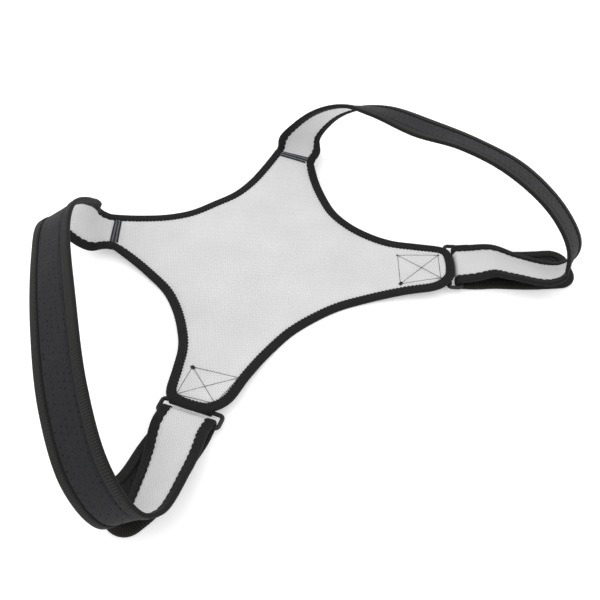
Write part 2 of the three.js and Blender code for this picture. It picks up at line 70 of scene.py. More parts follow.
# out, drop, up, then turn and lean of the line across the strap
loopRows = {
    "left": [
        (0.535, -0.03, 0.19, 146, 6), (0.592, -0.009, 0.47, 181, 16), (0.648, 0.06, 0.74, 202, 26),
        (0.708, 0.144, 0.9, 204, 35), (0.77, 0.252, 0.94, 203, 39), (0.875, 0.484, 0.91, 203, 35),
        (0.968, 0.717, 0.8, 207, 35), (1.01, 0.887, 0.61, 210, 37), (0.998, 0.972, 0.41, 216, 38),
        (0.97, 0.998, 0.31, 219, 37), (0.915, 0.992, 0.23, 222, 34), (0.8, 0.914, 0.16, 224, 24),
        (0.738, 0.865, 0.135, 227, 15),
    ],
    "right": [
        (0.546, -0.033, 0.28, 174, 36), (0.628, 0.009, 0.52, 191, 35), (0.704, 0.092, 0.69, 196, 30),
        (0.761, 0.196, 0.76, 198, 20), (0.83, 0.366, 0.78, 198, 14), (0.9, 0.533, 0.82, 197, 21),
        (0.957, 0.703, 0.79, 196, 23), (0.99, 0.87, 0.63, 197, 27), (0.99, 0.967, 0.43, 198, 28),
        (0.973, 0.991, 0.31, 203, 27), (0.945, 0.991, 0.21, 213, 24), (0.897, 0.968, 0.155, 220, 19),
        (0.812, 0.878, 0.135, 223, 15), (0.756, 0.822, 0.145, 228, 8),
    ],
}
# how far ahead of the seam a strap starts at its middle height, and less for each millimetre of height
seamGap = dict(slope=2 * seam["lift"] / seam["run"], clear=0.04)
seamGap["middle"] = 0.15 + 2 * seamGap["slope"]
# out, drop of the free tab on the table
tabRows = {
    "left": [(0.76, 0.845), (0.88, 0.9), (1.03, 0.922)],
    "right": [(0.76, 0.825), (0.88, 0.893), (1.045, 0.968)],
}
sideSign = {"left": -1, "right": 1}
mm = 0.001


def heading(degrees):
    return np.array([math.cos(math.radians(degrees)), math.sin(math.radians(degrees))])


def smooth(value):
    value = np.clip(value, 0, 1)
    return value * value * (3 - 2 * value)


def unit(vectors):
    return vectors / np.maximum(np.linalg.norm(vectors, axis=-1, keepdims=True), 1e-12)


def curveAt(rows, shares, power=0.25):  # Catmull-Rom through the rows, centripetal at power 0.25, even at 0
    rows = np.array(rows, float)
    ends = np.vstack([2 * rows[0] - rows[1], rows, 2 * rows[-1] - rows[-2]])
    place = np.clip(shares, 0, 1) * (len(rows) - 1)
    i = np.minimum(place.astype(int), len(rows) - 2)
    w = (place - i)[:, None]
    p0, p1, p2, p3 = (ends[i + k] for k in range(4))
    d0, d1, d2 = (
        np.maximum(((b - a) ** 2).sum(1), 1e-9)[:, None] ** power for a, b in ((p0, p1), (p1, p2), (p2, p3))
    )
    t1 = ((p1 - p0) / d0 - (p2 - p0) / (d0 + d1) + (p2 - p1) / d1) * d1
    t2 = ((p2 - p1) / d1 - (p3 - p1) / (d1 + d2) + (p3 - p2) / d2) * d1
    return p1 + t1 * w + (3 * (p2 - p1) - 2 * t1 - t2) * w**2 + (2 * (p1 - p2) + t1 + t2) * w**3


def lengthsAlong(points):
    return np.concatenate([[0], np.cumsum(np.linalg.norm(np.diff(points, axis=0), axis=1))])


def readAt(lengths, values, at):
    return np.stack([np.interp(at, lengths, values[:, k]) for k in range(values.shape[1])], axis=1)


seamAlong = heading(seam["heading"])
seamAcross = np.array([-seamAlong[1], seamAlong[0]])
seamMiddle = np.array([seam["out"], seam["level"]])
seamNeckEnd = seamMiddle + seamAcross * cloth["halfWidth"]
seamSideEnd = seamMiddle - seamAcross * cloth["halfWidth"]
armAlong = heading(-arm["heading"])
armAcross = np.array([-armAlong[1], armAlong[0]])
armTip = np.array([arm["out"], arm["level"]])
mirrored = np.array([-1, 1])


def outerBar(slide):
    return armTip + armAlong * bar["ahead"] + armAcross * slide


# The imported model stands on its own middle, so the shift is read from where a ring is
ringMiddle = outerBar(barSlide["right"]) - armAlong * bar["spacing"] / 2
ringLow, ringHigh = (np.array(corner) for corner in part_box("ring_right"))
shift = np.append(((ringLow + ringHigh)[:2] / 2 / mm - ringMiddle), 0)
print("stage: shift", shift.round(2))


def place(points, side=1):  # from millimetres in the part's own frame to metres in the row frame
    return (np.asarray(points, float) * np.array([side, 1, 1]) + shift) * mm


def panelHeight(xy):
    here = np.abs(xy[:, 0])[:, None] * np.array([1, 0]) + xy[:, 1][:, None] * np.array([0, 1])
    u = np.clip((here - seamMiddle) @ seamAlong / seam["run"] + 1, 0, 1.2)
    lower = smooth((here - armTip) @ armAlong / arm["run"] + 1)
    return cloth["tapeHalf"] + seam["lift"] * u * u + arm["lift"] * lower


def onPanel(xy, high):
    return np.column_stack([xy, panelHeight(xy) + high])


def mixed(a, b, share):
    return a + (b - a) * share


# Both edges of the panel's right half, from the seam to the middle
tipPoints = [armTip + armAlong * a * arm["tipWidth"] + armAcross * c * arm["tipWidth"] for a, c in tipRows]
neckHalf = [seamNeckEnd] + [
    np.array([out * seamNeckEnd[0], mixed(panel["neckLevel"], seamNeckEnd[1], rise)])
    for out, rise in neckRows[::-1]
]
waist = np.array([panel["waistHalfWidth"], panel["waistLevel"]])
lowerHalf = [seamSideEnd]
lowerHalf += [mixed(waist, seamSideEnd, np.array(row)) for row in upperSideRows]
lowerHalf += [mixed(waist, tipPoints[0], np.array(row)) for row in lowerSideRows]
lowerHalf += tipPoints
lowerHalf += [
    np.array([out * tipPoints[-1][0], mixed(panel["hemLevel"], tipPoints[-1][1], drop)])
    for out, drop in hemRows
]


def edgeOf(half, inwardSign, endInward, step):
    points = np.array(half + [p * mirrored for p in half[-2::-1]])
    reach = np.where(points[:, 1] > waist[1], seamSideEnd[1], arm["level"])
    share = (points[:, 1] - waist[1]) / (reach - waist[1])
    points[:, 0] += panel["waistShift"] * np.maximum(1 - share * share, 0)
    fine = curveAt(points, np.linspace(0, 1, 6001))
    lengths = lengthsAlong(fine)
    along = unit(np.gradient(fine, axis=0))
    count = round(lengths[-1] / step)
    at = np.linspace(0, lengths[-1], count + 1)
    inward = np.stack([-along[:, 1], along[:, 0]], axis=1) * inwardSign
    for start, value in ((lengths, endInward), (lengths[-1] - lengths, endInward * mirrored)):
        near = smooth(1 - start / 12)[:, None]
        inward = unit(inward * (1 - near) + value * near)
    return dict(length=at, at=readAt(lengths, fine, at), inward=unit(readAt(lengths, inward, at)))


edgeStep = 0.57  # fine enough for the tape's teeth
neckEdge = edgeOf(neckHalf, 1, -seamAcross, edgeStep)
lowerEdge = edgeOf(lowerHalf, -1, seamAcross, edgeStep)


def strapFrames(word):
    start = np.append(seamMiddle, panelHeight(seamMiddle[None])[0])
    away = unit(np.array([*seamAlong, seamGap["slope"]]))
    acrossTurn = seam["heading"] + 90
    stations = [(*(start + away * seamGap["middle"]), acrossTurn, 0), (*(start + away * 9), acrossTurn, 0)]
    for out, drop, up, turn, lean in loopRows[word]:
        spot = (out * loop["out"], seam["level"] - drop * loop["drop"], up * loop["height"])
        stations.append((*spot, turn, lean))
    barAt = outerBar(barSlide[word])
    over = np.append(barAt, bar["level"] + bar["wrapRadius"])
    barTurn = 270 - arm["heading"]
    stations.append((*(over + np.array([*armAlong, 0]) * 11 + np.array([0, 0, 2])), barTurn, 2))
    stations.append((*over, barTurn, 0))
    stations = np.array(stations)

    shares = np.linspace(0, 1, 40 * (len(stations) - 1) + 1)
    at = curveAt(stations[:, :3], shares)
    ahead = curveAt(stations[:, :3], shares + 1e-4) - curveAt(stations[:, :3], shares - 1e-4)
    along = unit(ahead)
    turn, lean = np.radians(curveAt(stations[:, 3:], shares, 0)).T
    across = np.stack([np.cos(turn) * np.cos(lean), np.sin(turn) * np.cos(lean), np.sin(lean)], axis=1)
    across = unit(across - along * (across * along).sum(1)[:, None])
    up = np.cross(along, across)

    angle = np.linspace(0, np.pi, 61)[1:, None]
    wrapUp = np.array([0, 0, 1]) * np.cos(angle) - np.array([*armAlong, 0]) * np.sin(angle)
    wrapAt = np.append(barAt, bar["level"]) + wrapUp * bar["wrapRadius"]
    wrapAcross = np.repeat([[*-armAcross, 0]], 60, axis=0)

    tab = [np.append(barAt, cloth["tapeHalf"]), np.append(barAt + armAlong * 12, cloth["tapeHalf"])]
    for out, drop in tabRows[word]:
        tab.append(np.array([out * loop["out"], seam["level"] - drop * loop["drop"], cloth["tapeHalf"]]))
    tabShares = np.linspace(0, 1, 121)[1:]
    tabAt = curveAt(tab, tabShares)
    tabAlong = unit(curveAt(tab, tabShares) - curveAt(tab, tabShares - 1e-4))
    tabAcross = np.stack([tabAlong[:, 1], -tabAlong[:, 0], 0 * tabAlong[:, 0]], axis=1)
    tabUp = np.repeat([[0, 0, -1.0]], 120, axis=0)

    points = np.vstack([at, wrapAt, tabAt])
    return dict(
        length=lengthsAlong(points),
        at=points,
        across=np.vstack([across, wrapAcross, tabAcross]),
        up=np.vstack([up, wrapUp, tabUp]),
    )


straps = {word: strapFrames(word) for word in ("left", "right")}


def onStrap(word, lengths, across, high):  # arrays of the same shape
    ribbon = straps[word]
    flat = np.ravel(lengths)
    at = readAt(ribbon["length"], ribbon["at"], flat)
    sideways = unit(readAt(ribbon["length"], ribbon["across"], flat))
    up = unit(readAt(ribbon["length"], ribbon["up"], flat))
    found = at + sideways * np.ravel(across)[:, None] + up * np.ravel(high)[:, None]
    return found.reshape(*np.shape(lengths), 3)


# Meshes and materials


def linear(hexColour):
    values = [int(hexColour[i : i + 2], 16) / 255 for i in (1, 3, 5)]
    return (*(v / 12.92 if v <= 0.04045 else ((v + 0.055) / 1.055) ** 2.4 for v in values), 1.0)


def addNode(tree, kind, links=None, **settings):
    node = tree.nodes.new(kind)
    for name, value in settings.items():
        setattr(node, name, value)
    for socket, value in (links or {}).items():
        if isinstance(value, bpy.types.NodeSocket):
            tree.links.new(value, node.inputs[socket])
        else:
            node.inputs[socket].default_value = value
    return node


# the third value is where the pattern lies: on the cloth laid flat, in millimetres, or in the object
def newTree(name, flat=True):
    material = bpy.data.materials.new(name)
    material.use_nodes = True
    tree = material.node_tree
    tree.nodes.clear()
    if flat:
        return material, tree, addNode(tree, "ShaderNodeUVMap", uv_map="weave").outputs[0]
    return material, tree, addNode(tree, "ShaderNodeTexCoord").outputs["Object"]


# relief is the bump's strength and its depth in millimetres; rough is a range over the grain, or one value
def closeTree(tree, colour, height, relief, grain, rough, **fixed):
    bump = addNode(
        tree, "ShaderNodeBump", {"Height": height, "Strength": relief[0], "Distance": relief[1] * mm}
    ).outputs[0]
    if grain is not None:
        rough = addNode(
            tree, "ShaderNodeMapRange", {"Value": grain, "To Min": rough[0], "To Max": rough[1]}
        ).outputs[0]
    given = {"Base Color": colour, "Normal": bump, "Roughness": rough}
    shader = addNode(tree, "ShaderNodeBsdfPrincipled", given)
    for name, value in fixed.items():
        shader.inputs[name.replace("_", " ")].default_value = value
    addNode(tree, "ShaderNodeOutputMaterial", {"Surface": shader.outputs[0]})


def addObject(name, data):
    obj = bpy.data.objects.new(name, data)
    bpy.context.scene.collection.objects.link(obj)
    return obj


def addPiece(name, points, faces, materials, uv=None, flatFaces=()):
    mesh = bpy.data.meshes.new(name)
    mesh.from_pydata([tuple(p) for p in points], [], [tuple(int(i) for i in f) for f in faces])
    for material in materials:
        mesh.materials.append(material)
    smoothness = np.ones(len(faces), bool)
    smoothness[list(flatFaces)] = False
    mesh.polygons.foreach_set("use_smooth", smoothness)
    if uv is not None:
        layer = mesh.uv_layers.new(name="weave")
        corner = np.zeros(len(mesh.loops), np.int32)
        mesh.loops.foreach_get("vertex_index", corner)
        layer.uv.foreach_set("vector", np.asarray(uv, np.float32)[corner].ravel())
    mesh.update()
    return addObject(name, mesh)


def weaveGrid(along, across):  # where the weave lies, from a column of lengths and a row of widths
    return np.stack(np.broadcast_arrays(along, across), axis=2)


def volumeOf(points, faces):
    total = 0.0
    for face in faces:
        a = points[face[0]]
        for b, c in zip(face[1:-1], face[2:]):
            total += float(np.dot(a, np.cross(points[b], points[c])))
    return total / 6


# sections are rows x points x 3, in millimetres
def loftPiece(name, sections, materials, uv, side=1, closed=False):
    rows, size, _ = sections.shape
    points = place(sections.reshape(-1, 3), side)
    j = np.arange(size)
    k = (j + 1) % size
    faces = []
    for i in range(rows if closed else rows - 1):
        a, b = i * size, (i + 1) % rows * size
        faces.append(np.stack([a + j, b + j, b + k, a + k], axis=1))
    faces = np.vstack(faces)
    ends = []
    if not closed:
        ends = [list(range(size))[::-1], list(range((rows - 1) * size, rows * size))]
    quads = [list(f) for f in faces] + ends
    inward = volumeOf(points - points.mean(0), quads) < 0
    if inward:
        quads = [f[::-1] for f in quads]
    flatFaces = range(len(quads) - len(ends), len(quads))
    return addPiece(name, points, quads, materials, uv.reshape(-1, 2), flatFaces)


waveUnit = 0.314  # width of one band of a wave texture whose scale is 1


def meshCloth():
    # warp-knitted polyester spacer mesh: pale matt face with small staggered holes, soft and slightly furry;
    # painted shade darkens the holes and the rib grooves
    size = dict(
        holePitch=1.9, ribPitch=2.7, patch=0.02, fuzz=1.7, thread="#d7d7d7", holeShade="#a2a2a3", shade="#cfcfcf"
    )
    material, tree, weave = newTree("polyesterSpacerMeshWarpKnitted")
    lines = []
    for degrees, pitch in ((58, size["holePitch"]), (-58, size["holePitch"]), (24, size["ribPitch"])):
        turned = addNode(
            tree, "ShaderNodeMapping", {"Vector": weave, "Rotation": (0, 0, math.radians(degrees))}
        )
        wave = addNode(
            tree, "ShaderNodeTexWave",
            {"Vector": turned.outputs[0], "Scale": waveUnit / pitch, "Distortion": 0.25, "Detail": 1.0,
             "Detail Scale": 0.4},
        )
        lines.append(wave.outputs["Fac"])
    lattice = addNode(tree, "ShaderNodeMath", {0: lines[0], 1: lines[1]}, operation="MULTIPLY").outputs[0]
    holes = addNode(
        tree, "ShaderNodeMapRange", {"Value": lattice, "From Min": 0.42, "From Max": 0.85}
    ).outputs[0]
    patchy = addNode(
        tree, "ShaderNodeTexNoise", {"Vector": weave, "Scale": size["patch"], "Detail": 2.0}
    ).outputs["Fac"]
    fuzz = addNode(
        tree, "ShaderNodeTexNoise", {"Vector": weave, "Scale": size["fuzz"], "Detail": 3.0}
    ).outputs["Fac"]
    tone = addNode(
        tree, "ShaderNodeMapRange", {"Value": patchy, "From Min": 0.35, "From Max": 0.7}
    ).outputs[0]
    base = addNode(
        tree, "ShaderNodeMix", {0: tone, 6: linear(size["shade"]), 7: linear(size["thread"])},
        data_type="RGBA",
    ).outputs[2]
    ribbed = addNode(
        tree, "ShaderNodeMapRange",
        {"Value": lines[2], "From Min": 0.0, "From Max": 1.0, "To Min": 0.0, "To Max": 0.2},
    ).outputs[0]
    both = addNode(
        tree, "ShaderNodeMath", {0: holes, 1: ribbed}, operation="ADD", use_clamp=True
    ).outputs[0]
    # painted shade: the holes and rib grooves are mixed towards a darker grey, where the relief sinks
    depth = addNode(tree, "ShaderNodeMath", {0: both, 1: 0.62}, operation="MULTIPLY").outputs[0]
    colour = addNode(
        tree, "ShaderNodeMix", {0: depth, 6: base, 7: linear(size["holeShade"])}, data_type="RGBA"
    ).outputs[2]
    relief = addNode(tree, "ShaderNodeMath", {0: fuzz, 1: 0.35}, operation="MULTIPLY").outputs[0]
    relief = addNode(tree, "ShaderNodeMath", {0: relief, 1: both}, operation="SUBTRACT").outputs[0]
    closeTree(
        tree, colour, relief, (0.55, 0.25), fuzz, (0.78, 0.95),
        Sheen_Weight=0.2, Sheen_Roughness=0.5, IOR=1.5, Specular_IOR_Level=0.25,
    )
    return material


def outerCloth():
    # neoprene laminated with brushed nylon jersey: charcoal with a cold cast, dull, mottled by its nap
    size = dict(nap=0.45, mottle=0.11, knitPitch=1.4, base="#1a1a1c", light="#232427", dark="#141416")
    material, tree, weave = newTree("nylonJerseyOnNeopreneLaminated")
    nap = addNode(
        tree, "ShaderNodeTexNoise", {"Vector": weave, "Scale": size["nap"], "Detail": 5.0, "Roughness": 0.65}
    ).outputs["Fac"]
    mottle = addNode(
        tree, "ShaderNodeTexNoise", {"Vector": weave, "Scale": size["mottle"], "Detail": 3.0}
    ).outputs["Fac"]
    knitWave = addNode(
        tree, "ShaderNodeTexWave",
        {"Vector": weave, "Scale": waveUnit / size["knitPitch"], "Distortion": 1.2, "Detail": 2.0},
        bands_direction="Y",
    ).outputs["Fac"]
    lightness = addNode(
        tree, "ShaderNodeMapRange", {"Value": nap, "From Min": 0.35, "From Max": 0.68}
    ).outputs[0]
    patches = addNode(
        tree, "ShaderNodeMapRange", {"Value": mottle, "From Min": 0.3, "From Max": 0.7}
    ).outputs[0]
    base = addNode(
        tree, "ShaderNodeMix", {0: lightness, 6: linear(size["base"]), 7: linear(size["light"])},
        data_type="RGBA",
    ).outputs[2]
    shadeShare = addNode(tree, "ShaderNodeMath", {0: patches, 1: 0.4}, operation="MULTIPLY").outputs[0]
    colour = addNode(
        tree, "ShaderNodeMix", {0: shadeShare, 6: base, 7: linear(size["dark"])}, data_type="RGBA"
    ).outputs[2]
    height = addNode(tree, "ShaderNodeMath", {0: knitWave, 1: nap}, operation="ADD").outputs[0]
    closeTree(
        tree, colour, height, (0.5, 0.22), nap, (0.72, 0.92),
        Sheen_Weight=0.04, Sheen_Roughness=0.6, IOR=1.5, Specular_IOR_Level=0.14,
    )
    return material


def bindingTape():
    # knitted polyester edge tape, folded and zigzag sewn:
    # near black, faint ribs across, warmer and laddered outside
    size = dict(
        ribPitch=1.3, ladderPitch=2.1, wear=0.35, base="#151516", rib="#1c1c1c", ladder="#2b2a27",
        worn="#20201f",
    )
    material, tree, weave = newTree("polyesterEdgeTapeKnitted")
    split = addNode(tree, "ShaderNodeSeparateXYZ", {0: weave})
    ribs = addNode(
        tree, "ShaderNodeTexWave",
        {"Vector": weave, "Scale": waveUnit / size["ribPitch"], "Distortion": 0.6, "Detail": 2.0,
         "Detail Scale": 0.5},
    ).outputs["Fac"]
    ladder = addNode(
        tree, "ShaderNodeTexWave",
        {"Vector": weave, "Scale": waveUnit / size["ladderPitch"], "Distortion": 0.8, "Detail": 2.0,
         "Detail Scale": 0.3},
    ).outputs["Fac"]
    noise = addNode(
        tree, "ShaderNodeTexNoise", {"Vector": weave, "Scale": size["wear"], "Detail": 4.0}
    ).outputs["Fac"]
    base = addNode(
        tree, "ShaderNodeMix", {0: ribs, 6: linear(size["base"]), 7: linear(size["rib"])}, data_type="RGBA"
    ).outputs[2]
    # v runs over the fold: 0 at the light face's inner edge, about 11 at the fold, about 21 at the dark one's
    inner = addNode(
        tree, "ShaderNodeMapRange", {"Value": split.outputs[1], "From Min": 11.5, "From Max": 13.0}
    ).outputs[0]
    outer = addNode(
        tree, "ShaderNodeMapRange", {"Value": split.outputs[1], "From Min": 20.5, "From Max": 18.5}
    ).outputs[0]
    rung = addNode(
        tree, "ShaderNodeMapRange", {"Value": ladder, "From Min": 0.35, "From Max": 0.8}
    ).outputs[0]
    zone = addNode(tree, "ShaderNodeMath", {0: inner, 1: outer}, operation="MULTIPLY").outputs[0]
    zoneRung = addNode(tree, "ShaderNodeMath", {0: zone, 1: rung}, operation="MULTIPLY").outputs[0]
    laddered = addNode(
        tree, "ShaderNodeMix", {0: zoneRung, 6: base, 7: linear(size["ladder"])}, data_type="RGBA"
    ).outputs[2]
    worn = addNode(
        tree, "ShaderNodeMapRange", {"Value": noise, "From Min": 0.5, "From Max": 0.75, "To Max": 0.45}
    ).outputs[0]
    colour = addNode(
        tree, "ShaderNodeMix", {0: worn, 6: laddered, 7: linear(size["worn"])}, data_type="RGBA"
    ).outputs[2]
    height = addNode(tree, "ShaderNodeMath", {0: ribs, 1: zoneRung}, operation="ADD").outputs[0]
    closeTree(
        tree, colour, height, (0.5, 0.2), noise, (0.68, 0.9),
        Sheen_Weight=0.03, Sheen_Roughness=0.6, IOR=1.5, Specular_IOR_Level=0.13,
    )
    return material


def sewingThread(name, dark, light, gloss):
    # bonded polyester thread, twisted: short painted glints along it, and painted shade a little darker in
    # the twist
    material, tree, spot = newTree(name, False)
    twistShadeAndGlint = addNode(
        tree, "ShaderNodeTexNoise", {"Vector": spot, "Scale": 2600.0, "Detail": 2.0}
    ).outputs["Fac"]
    # the twist noise paints glints and shade into the colour, and also gives the relief and roughness
    colour = addNode(
        tree, "ShaderNodeMix", {0: twistShadeAndGlint, 6: linear(dark), 7: linear(light)}, data_type="RGBA"
    ).outputs[2]
    closeTree(
        tree, colour, twistShadeAndGlint, (0.4, 0.08), twistShadeAndGlint, (gloss, gloss + 0.2),
        IOR=1.5, Specular_IOR_Level=0.25,
    )
    return material


def bandCloth():
    # woven polyester ribbon laid over the seam: near black with faint cross ribs under the pale zigzag
    size = dict(ribPitch=0.9, lint=0.9, dark="#1b1c1f", light="#34353a")
    material, tree, weave = newTree("polyesterRibbonWoven")
    ribs = addNode(
        tree, "ShaderNodeTexWave", {"Vector": weave, "Scale": waveUnit / size["ribPitch"], "Distortion": 0.4}
    ).outputs["Fac"]
    noise = addNode(
        tree, "ShaderNodeTexNoise", {"Vector": weave, "Scale": size["lint"], "Detail": 3.0}
    ).outputs["Fac"]
    mixedShare = addNode(tree, "ShaderNodeMath", {0: ribs, 1: noise}, operation="MULTIPLY").outputs[0]
    colour = addNode(
        tree, "ShaderNodeMix", {0: mixedShare, 6: linear(size["dark"]), 7: linear(size["light"])},
        data_type="RGBA",
    ).outputs[2]
    closeTree(
        tree, colour, ribs, (0.5, 0.2), noise, (0.6, 0.85),
        Sheen_Weight=0.03, IOR=1.5, Specular_IOR_Level=0.2,
    )
    return material


def ringPlastic():
    # acetal, injection moulded: near black, satin, a faint orange-peel from the mould, patches rubbed rougher
    # and painted lighter as highlights
    size = dict(peel=900.0, rubbedWearAndHighlight=160.0, dark="#1d1d1f", light="#2b2b2e")
    material, tree, spot = newTree("acetalInjectionMoulded", False)
    peel = addNode(
        tree, "ShaderNodeTexNoise", {"Vector": spot, "Scale": size["peel"], "Detail": 2.0}
    ).outputs["Fac"]
    rubbedWearAndHighlight = addNode(
        tree, "ShaderNodeTexNoise", {"Vector": spot, "Scale": size["rubbedWearAndHighlight"], "Detail": 4.0}
    ).outputs["Fac"]
    # where rubbed, the roughness rises and the colour is painted lighter, a painted highlight
    share = addNode(tree, "ShaderNodeMapRange", {"Value": rubbedWearAndHighlight, "From Min": 0.4, "From Max": 0.7}).outputs[0]
    colour = addNode(
        tree, "ShaderNodeMix", {0: share, 6: linear(size["dark"]), 7: linear(size["light"])},
        data_type="RGBA",
    ).outputs[2]
    closeTree(
        tree, colour, peel, (0.15, 0.05), rubbedWearAndHighlight, (0.38, 0.55),
        IOR=1.48, Specular_IOR_Level=0.25,
    )
    return material


def wovenWebbing():
    # nylon webbing, woven in a broken twill: black, ribbed along, with a painted sheen lighter on the raised
    # floats and painted shade darker between them
    size = dict(twillPitch=1.5, twillAngle=38, cordPitch=2.1, lint=0.6, dark="#141415", light="#242426")
    material, tree, weave = newTree("nylonWebbingWoven")
    turned = addNode(
        tree, "ShaderNodeMapping", {"Vector": weave, "Rotation": (0, 0, math.radians(size["twillAngle"]))}
    ).outputs[0]
    twill = addNode(
        tree, "ShaderNodeTexWave", {"Vector": turned, "Scale": waveUnit / size["twillPitch"]}
    ).outputs["Fac"]
    cords = addNode(
        tree, "ShaderNodeTexWave", {"Vector": weave, "Scale": waveUnit / size["cordPitch"]},
        bands_direction="Y",
    ).outputs["Fac"]
    noise = addNode(
        tree, "ShaderNodeTexNoise", {"Vector": weave, "Scale": size["lint"], "Detail": 3.0}
    ).outputs["Fac"]
    height = addNode(tree, "ShaderNodeMath", {0: twill, 1: cords}, operation="ADD").outputs[0]
    # painted sheen and shade: the colour follows the weave's height, lighter where it stands up
    share = addNode(tree, "ShaderNodeMapRange", {"Value": height, "From Max": 2.0}).outputs[0]
    colour = addNode(
        tree, "ShaderNodeMix", {0: share, 6: linear(size["dark"]), 7: linear(size["light"])},
        data_type="RGBA",
    ).outputs[2]
    closeTree(
        tree, colour, height, (0.6, 0.3), noise, (0.5, 0.75),
        Sheen_Weight=0.05, IOR=1.53, Specular_IOR_Level=0.2,
    )
    return material


def punchedHole():
    # holes punched through the laminate: painted shade, a dark disc standing for the shadowed inside of each
    # hole, with no gloss at all
    size = dict(cells=1800.0, dark="#131315", light="#1d1d20")
    material, tree, spot = newTree("punchedHoleShadePainted", False)
    cells = addNode(
        tree, "ShaderNodeTexVoronoi", {"Vector": spot, "Scale": size["cells"]}
    ).outputs["Distance"]
    colour = addNode(
        tree, "ShaderNodeMix", {0: cells, 6: linear(size["dark"]), 7: linear(size["light"])},
        data_type="RGBA",
    ).outputs[2]
    closeTree(
        tree, colour, cells, (0.3, 0.1), cells, (0.92, 1.0),
        IOR=1.4, Specular_IOR_Level=0.05,
    )
    return material


meshMaterial = meshCloth()
outerMaterial = outerCloth()
tapeMaterial = bindingTape()
blackThread = sewingThread("polyesterThreadBonded", "#17171a", "#2a2a2d", 0.5)
greyThread = sewingThread("polyesterThreadGreyBonded", "#6f7177", "#a4a6ab", 0.5)
bandMaterial = bandCloth()
ringMaterial = ringPlastic()
webbingMaterial = wovenWebbing()
holeMaterial = punchedHole()
print("stage: materials made")

# Stitches by Geometry Nodes


def newGroup(name, inputs):
    tree = bpy.data.node_groups.new(name, "GeometryNodeTree")
    tree.interface.new_socket("Geometry", in_out="INPUT", socket_type="NodeSocketGeometry")
    for label, kind, value in inputs:
        socket = tree.interface.new_socket(label, in_out="INPUT", socket_type="NodeSocket" + kind)
        if value is not None:
            socket.default_value = value
    tree.interface.new_socket("Geometry", in_out="OUTPUT", socket_type="NodeSocketGeometry")
    return tree, addNode(tree, "NodeGroupInput")


def closeGroup(tree, made, material):
    real = addNode(tree, "GeometryNodeRealizeInstances", {0: made})
    shaded = addNode(tree, "GeometryNodeSetShadeSmooth", {0: real.outputs[0]})
    coloured = addNode(tree, "GeometryNodeSetMaterial", {"Geometry": shaded.outputs[0], "Material": material})
    addNode(tree, "NodeGroupOutput", {0: coloured.outputs[0]})


def axesOf(tree):  # facing and along, kept on the rails as attributes
    found = []
    for name in ("facing", "along"):
        kept = addNode(tree, "GeometryNodeInputNamedAttribute", {"Name": name}, data_type="FLOAT_VECTOR")
        found.append(addNode(
            tree, "ShaderNodeVectorMath", {0: kept.outputs[0]}, operation="NORMALIZE"
        ).outputs[0])
    return found


def unevenShare(tree, given):  # a size for each copy, spread about 1 by the seed
    ends = [
        addNode(tree, "ShaderNodeMath", {0: 1.0, 1: given.outputs["Unevenness"]}, operation=way).outputs[0]
        for way in ("SUBTRACT", "ADD")
    ]
    drawn = {2: ends[0], 3: ends[1], "Seed": given.outputs["Seed"]}
    return addNode(tree, "FunctionNodeRandomValue", drawn, data_type="FLOAT").outputs[1]


def stitchGroup():  # a row of separate stitches laid along rails
    tree, given = newGroup(
        "stitchRow",
        [
            ("Pitch", "Float", 3 * mm), ("Stitch Length", "Float", 2.4 * mm),
            ("Thread Radius", "Float", 0.2 * mm), ("Slant", "Float", 0.0), ("Sink", "Float", 0.2 * mm),
            ("Unevenness", "Float", 0.08), ("Seed", "Int", 7),
            ("Material", "Material", None),
        ],
    )
    facing, along = axesOf(tree)
    line = addNode(tree, "GeometryNodeMeshToCurve", {0: given.outputs["Geometry"]}).outputs[0]
    spaced = addNode(
        tree, "GeometryNodeResampleCurve", {"Curve": line, "Length": given.outputs["Pitch"]}, mode="LENGTH"
    ).outputs[0]
    half = addNode(
        tree, "ShaderNodeMath", {0: given.outputs["Stitch Length"], 1: 0.5}, operation="MULTIPLY"
    ).outputs[0]
    minus = addNode(tree, "ShaderNodeMath", {0: half, 1: -1.0}, operation="MULTIPLY").outputs[0]
    down = addNode(
        tree, "ShaderNodeMath", {0: given.outputs["Sink"], 1: -1.0}, operation="MULTIPLY"
    ).outputs[0]
    start = addNode(tree, "ShaderNodeCombineXYZ", {0: minus, 2: down}).outputs[0]
    crown = addNode(tree, "ShaderNodeCombineXYZ", {2: given.outputs["Sink"]}).outputs[0]
    end = addNode(tree, "ShaderNodeCombineXYZ", {0: half, 2: down}).outputs[0]
    bow = {"Resolution": 4, "Start": start, "Middle": crown, "End": end}
    arc = addNode(tree, "GeometryNodeCurveQuadraticBezier", bow).outputs[0]
    ring = addNode(
        tree, "GeometryNodeCurvePrimitiveCircle", {"Resolution": 6, "Radius": given.outputs["Thread Radius"]}
    ).outputs[0]
    stitch = addNode(
        tree, "GeometryNodeCurveToMesh", {"Curve": arc, "Profile Curve": ring, "Fill Caps": True}
    ).outputs[0]
    sideways = addNode(
        tree, "ShaderNodeVectorMath", {0: facing, 1: along}, operation="CROSS_PRODUCT"
    ).outputs[0]
    leaning = addNode(
        tree, "ShaderNodeVectorMath", {0: sideways, "Scale": given.outputs["Slant"]}, operation="SCALE"
    ).outputs[0]
    way = addNode(tree, "ShaderNodeVectorMath", {0: along, 1: leaning}, operation="ADD").outputs[0]
    turned = addNode(
        tree, "FunctionNodeAxesToRotation", {"Primary Axis": facing, "Secondary Axis": way},
        primary_axis="Z", secondary_axis="X",
    ).outputs[0]
    chance = unevenShare(tree, given)
    sizes = addNode(tree, "ShaderNodeCombineXYZ", {0: chance, 1: 1.0, 2: 1.0}).outputs[0]
    copies = {"Points": spaced, "Instance": stitch, "Rotation": turned, "Scale": sizes}
    made = addNode(tree, "GeometryNodeInstanceOnPoints", copies).outputs[0]
    closeGroup(tree, made, given.outputs["Material"])
    return tree


